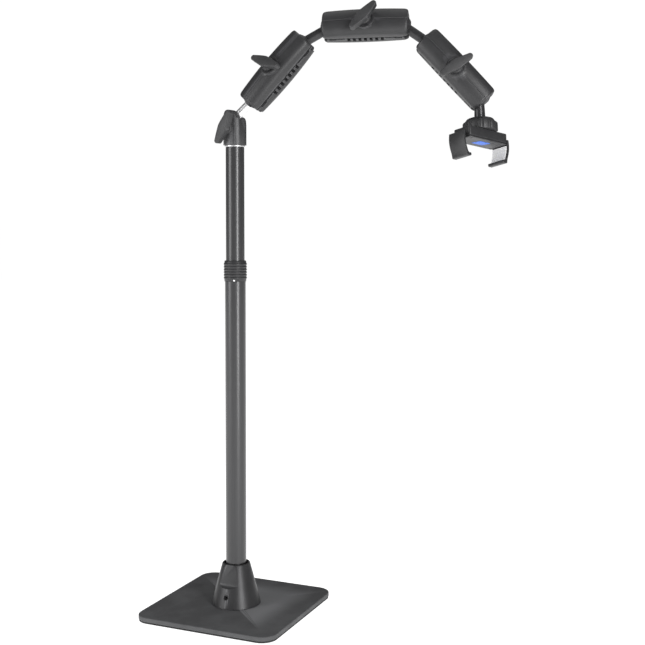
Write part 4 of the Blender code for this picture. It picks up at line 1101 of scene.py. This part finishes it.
class STAND_OT_knobs(bpy.types.Operator):
    """Wing knobs of the head and the arms"""

    bl_idname = "stand.knobs"
    bl_label = "Wing knobs"

    head_turn = math.radians(62)

    def execute(self, context):
        sizes = context.scene.stand_sizes
        knob_axis = direction("head_knob_turn")
        head_spot = spot("head_knob_turn") + knob_axis * (HEAD_RADIUS + GAP)
        head_place = basis(head_spot, knob_axis.cross(UP), knob_axis)
        rows = [("head_knob", head_place, self.head_turn)]
        for number, start, end in zip((1, 2, 3), ARM_STARTS, ARM_ENDS):
            name = f"arm_{number}_knob"
            axis = direction(name + "_turn")
            seat = (start + end) / 2 + axis * (sizes.arm_height + 0.5 * MM + GAP)
            rows.append((name, basis(seat, end - start, axis), KNOB_TURNS[name]))
        outline = wing_outline(sizes.wing_length, sizes.wing_width)
        for name, place, turn in rows:
            wing = prism(name + "_wing", outline, WING_RISE, KNOB_TOP)
            round_edges(wing, 1.3 * MM, 4, 50)
            hub_profile = [(0, 0), (HUB_RADIUS - 0.8 * MM, 0), (HUB_RADIUS, 0.8 * MM)]
            hub_profile += arc((HUB_RADIUS - 1.6 * MM, HUB_HEIGHT - 1.6 * MM), 1.6 * MM, 0, QUARTER, 6)
            hub_profile.append((0, HUB_HEIGHT))
            combine(wing, [turned("hub", hub_profile, 64)], "UNION")
            combine(wing, [drum("bore", ARM_BORE, -MM, HUB_HEIGHT + 2 * MM, sides=32)])
            place = place @ Matrix.Rotation(turn, 4, "Z")
            settle(wing, "knob_plastic", name, place, name, sharp=55)
        return {"FINISHED"}


# Ring nut and holder

NUT_TOP = -6.4 * MM
NUT_BOTTOM = 10.5 * MM
NUT_RADIUS = 20.5 * MM
NUT_DOME = 13 * MM
NUT_LIP = 3.7 * MM
LOBE_RADIUS = 4.2 * MM
LOBE_PROUD = 2.2 * MM
LOBE_TOP = -3 * MM
CUP_RADIUS = 13 * MM
BODY_LENGTH = 70 * MM
BODY_WIDTH = 29 * MM
BODY_THICK = 12.5 * MM
BODY_CORNER = 3 * MM
COVER_THICK = 2 * MM
TONGUE_WIDTH = 14 * MM
TONGUE_THICK = 3 * MM
TONGUE_DEPTH = 7.5 * MM
TONGUE_LENGTH = 44 * MM
JAW_WIDTH = 27 * MM
JAW_THICK = 3 * MM
JAW_BOW = 1.2 * MM
JAW_LEAN = 4 * MM
JAW_REST = 6 * MM
HOOK_REACH = 5 * MM
PAD_THICK = MM
PAD_HEIGHT = 20 * MM


def lobe_reach(turn, lobes):
    """How far the nut's rim stands out at an angle, with soft valleys between the lobes."""
    part = 2 * math.pi / lobes
    near = (turn + part / 2) % part - part / 2
    middle = NUT_RADIUS - LOBE_RADIUS + LOBE_PROUD
    across = middle * math.sin(near)
    if abs(across) >= LOBE_RADIUS:
        return 0.0
    reach = middle * math.cos(near) + math.sqrt(LOBE_RADIUS**2 - across**2) - NUT_RADIUS
    return max(reach, 0.0)


class STAND_OT_nut(bpy.types.Operator):
    """Lobed ring nut over the holder's ball"""

    bl_idname = "stand.nut"
    bl_label = "Ring nut"

    sides = 240

    def execute(self, context):
        lobes = context.scene.stand_sizes.nut_lobes
        shelf, lip, bore = NUT_TOP + NUT_LIP, 11 * MM, CUP_RADIUS + RUN
        dome = [(NUT_DOME, NUT_TOP, 0), (NUT_DOME + 2.2 * MM, NUT_TOP + 0.25 * MM, 0)]
        dome += [(0.5 * (NUT_RADIUS + NUT_DOME) + MM, NUT_TOP + 1.2 * MM, 0)]
        dome += [(NUT_RADIUS - 1.8 * MM, NUT_TOP + 2.6 * MM, 0.0)]
        for inset, drop, share in ((1, 0.3, 0.12), (0.6, 0.9, 0.62), (0.3, 1.8, 0.9)):
            dome.append((NUT_RADIUS - inset * MM, LOBE_TOP + drop * MM, share))
        dome += [(NUT_RADIUS, LOBE_TOP + 3 * MM, 1), (NUT_RADIUS, 0.5 * (LOBE_TOP + NUT_BOTTOM), 1)]
        dome += [(NUT_RADIUS, NUT_BOTTOM - 0.8 * MM, 1), (NUT_RADIUS - 0.25 * MM, NUT_BOTTOM - 0.25 * MM, 1)]
        dome += [(NUT_RADIUS - 0.8 * MM, NUT_BOTTOM, 1), (bore, NUT_BOTTOM, 0), (bore, shelf, 0)]
        dome += [(lip, shelf, 0), (lip, NUT_TOP + 0.5 * MM, 0), (lip + 0.5 * MM, NUT_TOP, 0)]
        rings = []
        for radius, height, share in dome:
            ring = []
            for i in range(self.sides):
                turn = 2 * math.pi * i / self.sides
                reach = radius + share * lobe_reach(turn, lobes)
                ring.append((reach * math.cos(turn), reach * math.sin(turn), height))
            rings.append(ring)
        nut = skin("lock_nut", rings, True)
        settle(nut, "arm_plastic", "ring_nut", HOLDER_FRAME, "ring_nut", sharp=34)
        repaint("arm_plastic", "ball_cup")
        return {"FINISHED"}


class STAND_OT_holder(bpy.types.Operator):
    """Holder body, cover with its pad, and the cover's screws"""

    bl_idname = "stand.holder"
    bl_label = "Holder"

    pad_length = 19 * MM
    pad_width = 12 * MM
    pad_slant = 2 * MM
    screw_radius = 1.5 * MM
    screw_spot = (29 * MM, 10.5 * MM)
    spigot_start = 4.9 * MM
    spring_bore = 2.45 * MM
    spring_half = 16 * MM
    spring_aside = 9.4 * MM

    def execute(self, context):
        low = NUT_BOTTOM + GAP
        high = low + BODY_THICK
        body = prism("holder_case", rounded(BODY_LENGTH, BODY_WIDTH, BODY_CORNER, 8), low, high)
        round_edges(body, 0.9 * MM, 4, 50)
        spigot = drum("spigot", CUP_RADIUS, self.spigot_start, low + MM, sides=64)
        combine(body, [spigot], "UNION")
        clear, tongue = TONGUE_WIDTH / 2 + RUN, low + TONGUE_DEPTH - RUN
        tongue_top = tongue + TONGUE_THICK + 2 * RUN
        stop, start = BODY_LENGTH / 2 - 6 * MM, BODY_LENGTH / 2 - 4 * MM
        channel = block("channel", (-BODY_LENGTH, -clear, tongue), (stop, clear, tongue_top))
        socket = block("socket", (start, -clear, tongue), (BODY_LENGTH, clear, tongue_top))
        bore = drum("bore", self.spring_bore, -self.spring_half, self.spring_half, "X", 32)
        bore.location = (0, self.spring_aside, low + TONGUE_DEPTH + TONGUE_THICK / 2)
        combine(body, [channel, socket, bore, globe("pocket", SOCKET_BALL + CLEAR)])
        settle(body, "arm_plastic", "holder", HOLDER_FRAME, "holder_body", sharp=45)
        cover_low = high + GAP
        cover_high = cover_low + COVER_THICK
        cover = prism("holder_face", rounded(BODY_LENGTH, BODY_WIDTH, BODY_CORNER, 8), cover_low, cover_high)
        round_edges(cover, 0.6 * MM, 3, 50)
        half_x, half_y, slant = self.pad_length / 2, self.pad_width / 2, self.pad_slant
        corners = [(half_x - slant, -half_y), (half_x + slant, half_y)]
        corners += [(slant - half_x, half_y), (-slant - half_x, -half_y)]
        outline = []
        for a, b in zip(corners, corners[1:] + corners[:1]):
            outline += [tuple(Vector(a).lerp(Vector(b), t)) for t in (0, 0.12, 0.88)]
        outline = soften(outline, 2)
        grow = 1 + 2 * GAP / self.pad_width
        wider = [(x * grow, y * grow) for x, y in outline]
        tools = [prism("seat", wider, cover_high - 1.1 * MM, cover_high + MM)]
        spots = [(-self.screw_spot[0], self.screw_spot[1], 0), (self.screw_spot[0], -self.screw_spot[1], 0)]
        for place in spots:
            hole = drum("hole", self.screw_radius + GAP, cover_high - 6.3 * MM, cover_high + MM, sides=32)
            hole.location = place
            tools.append(hole)
        combine(cover, tools)
        settle(cover, "arm_plastic", "holder", HOLDER_FRAME, "holder_cover", sharp=45)
        patch = prism("rest_pad", outline, cover_high - 0.8 * MM, cover_high + 0.3 * MM)
        round_edges(patch, 0.25 * MM, 2, 60)
        settle(patch, "blue_pad", "holder", HOLDER_FRAME, "back_pad")
        for number, place in enumerate(spots):
            self.screw(number + 1, place, cover_high)
        repaint("bright_steel", "jaw_spring")
        return {"FINISHED"}

    def screw(self, number, place, top):
        """A cover screw with a domed head and a cross recess."""
        radius, head = self.screw_radius, top - 0.4 * MM
        profile = [(0, top - 6 * MM), (radius, top - 6 * MM), (radius, head - 0.4 * MM)]
        profile += [(0.75 * radius, head - 0.12 * MM), (0, head)]
        screw = turned(f"face_screw_{number}", profile, 32)
        arm, blade = 0.95 * MM, 0.22 * MM
        cross = [block("slot", (-arm, -blade, head - 0.8 * MM), (arm, blade, top))]
        cross.append(block("slot", (-blade, -arm, head - 0.8 * MM), (blade, arm, top)))
        combine(screw, cross)
        seat = HOLDER_FRAME @ Matrix.Translation(place)
        settle(screw, "bright_steel", "holder", seat, f"cover_screw_{number}")


def jaw_line(depth):
    """Middle line of a jaw in the X-Z plane, from its head to its foot, for the +X side."""
    top = NUT_BOTTOM + GAP + TONGUE_DEPTH
    outer = BODY_LENGTH / 2 + GAP + JAW_THICK / 2
    line = []
    for share in steps(0, 1, 24):
        bow = JAW_BOW * math.sin(math.pi * min(share * 1.15, 1))
        line.append((outer + bow - JAW_LEAN * share**2, top + (depth - JAW_THICK) * share))
    return line


class STAND_OT_jaws(bpy.types.Operator):
    """Fixed and sliding jaws with their pads"""

    bl_idname = "stand.jaws"
    bl_label = "Jaws"

    def execute(self, context):
        depth = context.scene.stand_sizes.jaw_depth
        line = jaw_line(depth)
        half = JAW_THICK / 2
        foot_x, foot_z = line[-1]
        bottom = foot_z + JAW_THICK
        hook = foot_x - half - HOOK_REACH
        outer = [(x + half, z) for x, z in line]
        outer += [(foot_x + half - 0.1 * MM, bottom - 1.1 * MM), (foot_x + half - 1.2 * MM, bottom)]
        inner = [(hook + 0.9 * MM, bottom), (hook, bottom - 0.9 * MM)]
        inner += [(hook, foot_z - 0.3 * MM), (hook + 0.6 * MM, foot_z - MM)]
        inner += [(foot_x - half - 1.2 * MM, foot_z - MM), (foot_x - half, foot_z - 2.2 * MM)]
        inner += [(x - half, z) for x, z in reversed(line[:-2])]
        pad_low = foot_z - MM - PAD_HEIGHT
        pad_line = [(x, z) for x, z in line if pad_low <= z <= foot_z - 2.4 * MM]
        pad_line = [(pad_line[0][0], pad_low)] + pad_line
        face = half + GAP
        pad_side = JAW_WIDTH / 2 - 1.5 * MM
        thin = [(x - face, z) for x, z in pad_line]
        thin += [(x - face - PAD_THICK, z) for x, z in reversed(pad_line)]
        for side, name, body in ((1, "right_jaw", "holder"), (-1, "left_jaw", "left_jaw")):
            plate = upright(name + "_plate", outer + inner, -JAW_WIDTH / 2, JAW_WIDTH / 2)
            round_edges(plate, 0.8 * MM, 3, 40)
            reach = TONGUE_LENGTH if side < 0 else JAW_THICK + 2 * MM
            start = line[0][0] + half - MM - reach
            low = line[0][1] + 0.02 * MM
            tongue = block(
                "tongue",
                (start, -TONGUE_WIDTH / 2, low),
                (line[0][0] + MM, TONGUE_WIDTH / 2, low + TONGUE_THICK),
            )
            round_edges(tongue, 0.3 * MM, 2, 50)
            combine(plate, [tongue], "UNION")
            pad = upright(name + "_face", thin, -pad_side, pad_side)
            round_edges(pad, 0.3 * MM, 2, 50)
            place = HOLDER_FRAME
            if side < 0:
                for piece in (plate, pad):
                    piece.data.transform(Matrix.Diagonal((-1, 1, 1, 1)))
                    piece.data.flip_normals()
                place = Matrix.Translation(-HOLDER_LONG * JAW_REST) @ HOLDER_FRAME
            settle(plate, "arm_plastic", body, place, name, sharp=45)
            settle(pad, "silver_pad", body, place, name + "_pad", sharp=45)
        return {"FINISHED"}


# Stage


def soft_light(name, place, aim, size, watts):
    """A rectangular light turned towards a point."""
    lamp = bpy.data.lights.new(name, "AREA")
    lamp.shape = "RECTANGLE"
    lamp.size, lamp.size_y = size
    lamp.energy = watts
    obj = bpy.data.objects.new(name, lamp)
    bpy.context.scene.collection.objects.link(obj)
    obj.location = place
    obj.rotation_euler = (Vector(aim) - Vector(place)).to_track_quat("-Z", "Y").to_euler()


class STAND_OT_stage(bpy.types.Operator):
    """Plain floor, pale backdrop, soft lights and the camera"""

    bl_idname = "stand.stage"
    bl_label = "Stage"

    camera_place = (0.7008, -1.3112, 0.5349)
    camera_turn = (math.radians(90 - 2.201), 0, math.radians(23.515))
    shift = (-0.0014, -0.0972)
    dome_radius = 14
    floor_radius = 9
    floor_depths = (-0.02, -0.0005)

    def execute(self, context):
        stage = context.scene.stand_stage
        scene = context.scene
        disc = arc((0, 0), self.floor_radius, 0, 2 * math.pi, 96)[:-1]
        floor = prism("floor", disc, *self.floor_depths)
        floor.data.materials.append(plain_floor(scene.stand_colours.floor))
        dome = globe("backdrop", self.dome_radius)
        dome.data.flip_normals()
        glow = Graph("backdrop_white")
        glow.finish(Base_Color=(0, 0, 0), Emission_Color=(1, 1, 1), Emission_Strength=1.0)
        dome.data.materials.append(glow.material)
        for ray in ("diffuse", "glossy", "transmission", "volume_scatter", "shadow"):
            setattr(dome, "visible_" + ray, False)
        world = bpy.data.worlds.new("room")
        scene.world = world
        world.use_nodes = True
        background = world.node_tree.nodes["Background"]
        background.inputs["Strength"].default_value = stage.world
        background.inputs["Color"].default_value = (1, 1, 1, 1)
        soft_light("key", (1.75, -1.15, 0.75), (0.05, 0, 0.4), (0.5, 1.7), stage.key)
        soft_light("fill", (-1.3, -1.6, 0.9), (0.05, 0, 0.45), (1.0, 1.4), stage.fill)
        soft_light("top", (0.1, 0.2, 2.4), (0.1, 0, 0), (1.8, 1.8), stage.top)
        lens = bpy.data.cameras.new("camera")
        lens.lens = stage.lens
        lens.sensor_width = 36
        lens.shift_x, lens.shift_y = self.shift
        lens.dof.use_dof = False
        camera = bpy.data.objects.new("camera", lens)
        scene.collection.objects.link(camera)
        camera.location = self.camera_place
        camera.rotation_euler = self.camera_turn
        scene.camera = camera
        scene.view_settings.view_transform = "Standard"
        return {"FINISHED"}


class STAND_PT_panel(bpy.types.Panel):
    """Sidebar panel with the stand's sizes, colours and makers"""

    bl_idname = "STAND_PT_panel"
    bl_label = "Overhead Phone Stand"
    bl_space_type = "VIEW_3D"
    bl_region_type = "UI"
    bl_category = "Stand"

    def draw(self, context):
        for group in (context.scene.stand_sizes, context.scene.stand_colours, context.scene.stand_stage):
            column = self.layout.column()
            for name in group.__annotations__:
                column.prop(group, name)
        for maker in MAKERS:
            self.layout.operator(maker.bl_idname)


GROUPS = {"stand_sizes": StandSizes, "stand_colours": StandColours, "stand_stage": StandStage}
MAKERS = (
    STAND_OT_stage, STAND_OT_base, STAND_OT_socket, STAND_OT_pole, STAND_OT_collar, STAND_OT_head,
    STAND_OT_rods, STAND_OT_arms, STAND_OT_knobs, STAND_OT_nut, STAND_OT_holder, STAND_OT_jaws,
)


def register():
    for group in (*GROUPS.values(), *MAKERS, STAND_PT_panel):
        bpy.utils.register_class(group)
    for name, group in GROUPS.items():
        setattr(bpy.types.Scene, name, PointerProperty(type=group))


def unregister():
    for name in GROUPS:
        delattr(bpy.types.Scene, name)
    for group in (STAND_PT_panel, *MAKERS, *GROUPS.values()):
        bpy.utils.unregister_class(group)


def main():
    register()
    make_looks(bpy.context.scene.stand_colours)
    bpy.ops.stand.stage()
    bpy.ops.stand.base()
    bpy.ops.stand.socket()
    bpy.ops.stand.pole()
    bpy.ops.stand.collar()
    bpy.ops.stand.head()
    bpy.ops.stand.rods()
    bpy.ops.stand.arms()
    bpy.ops.stand.knobs()
    bpy.ops.stand.nut()
    bpy.ops.stand.holder()
    bpy.ops.stand.jaws()


if __name__ == "__main__":
    main()
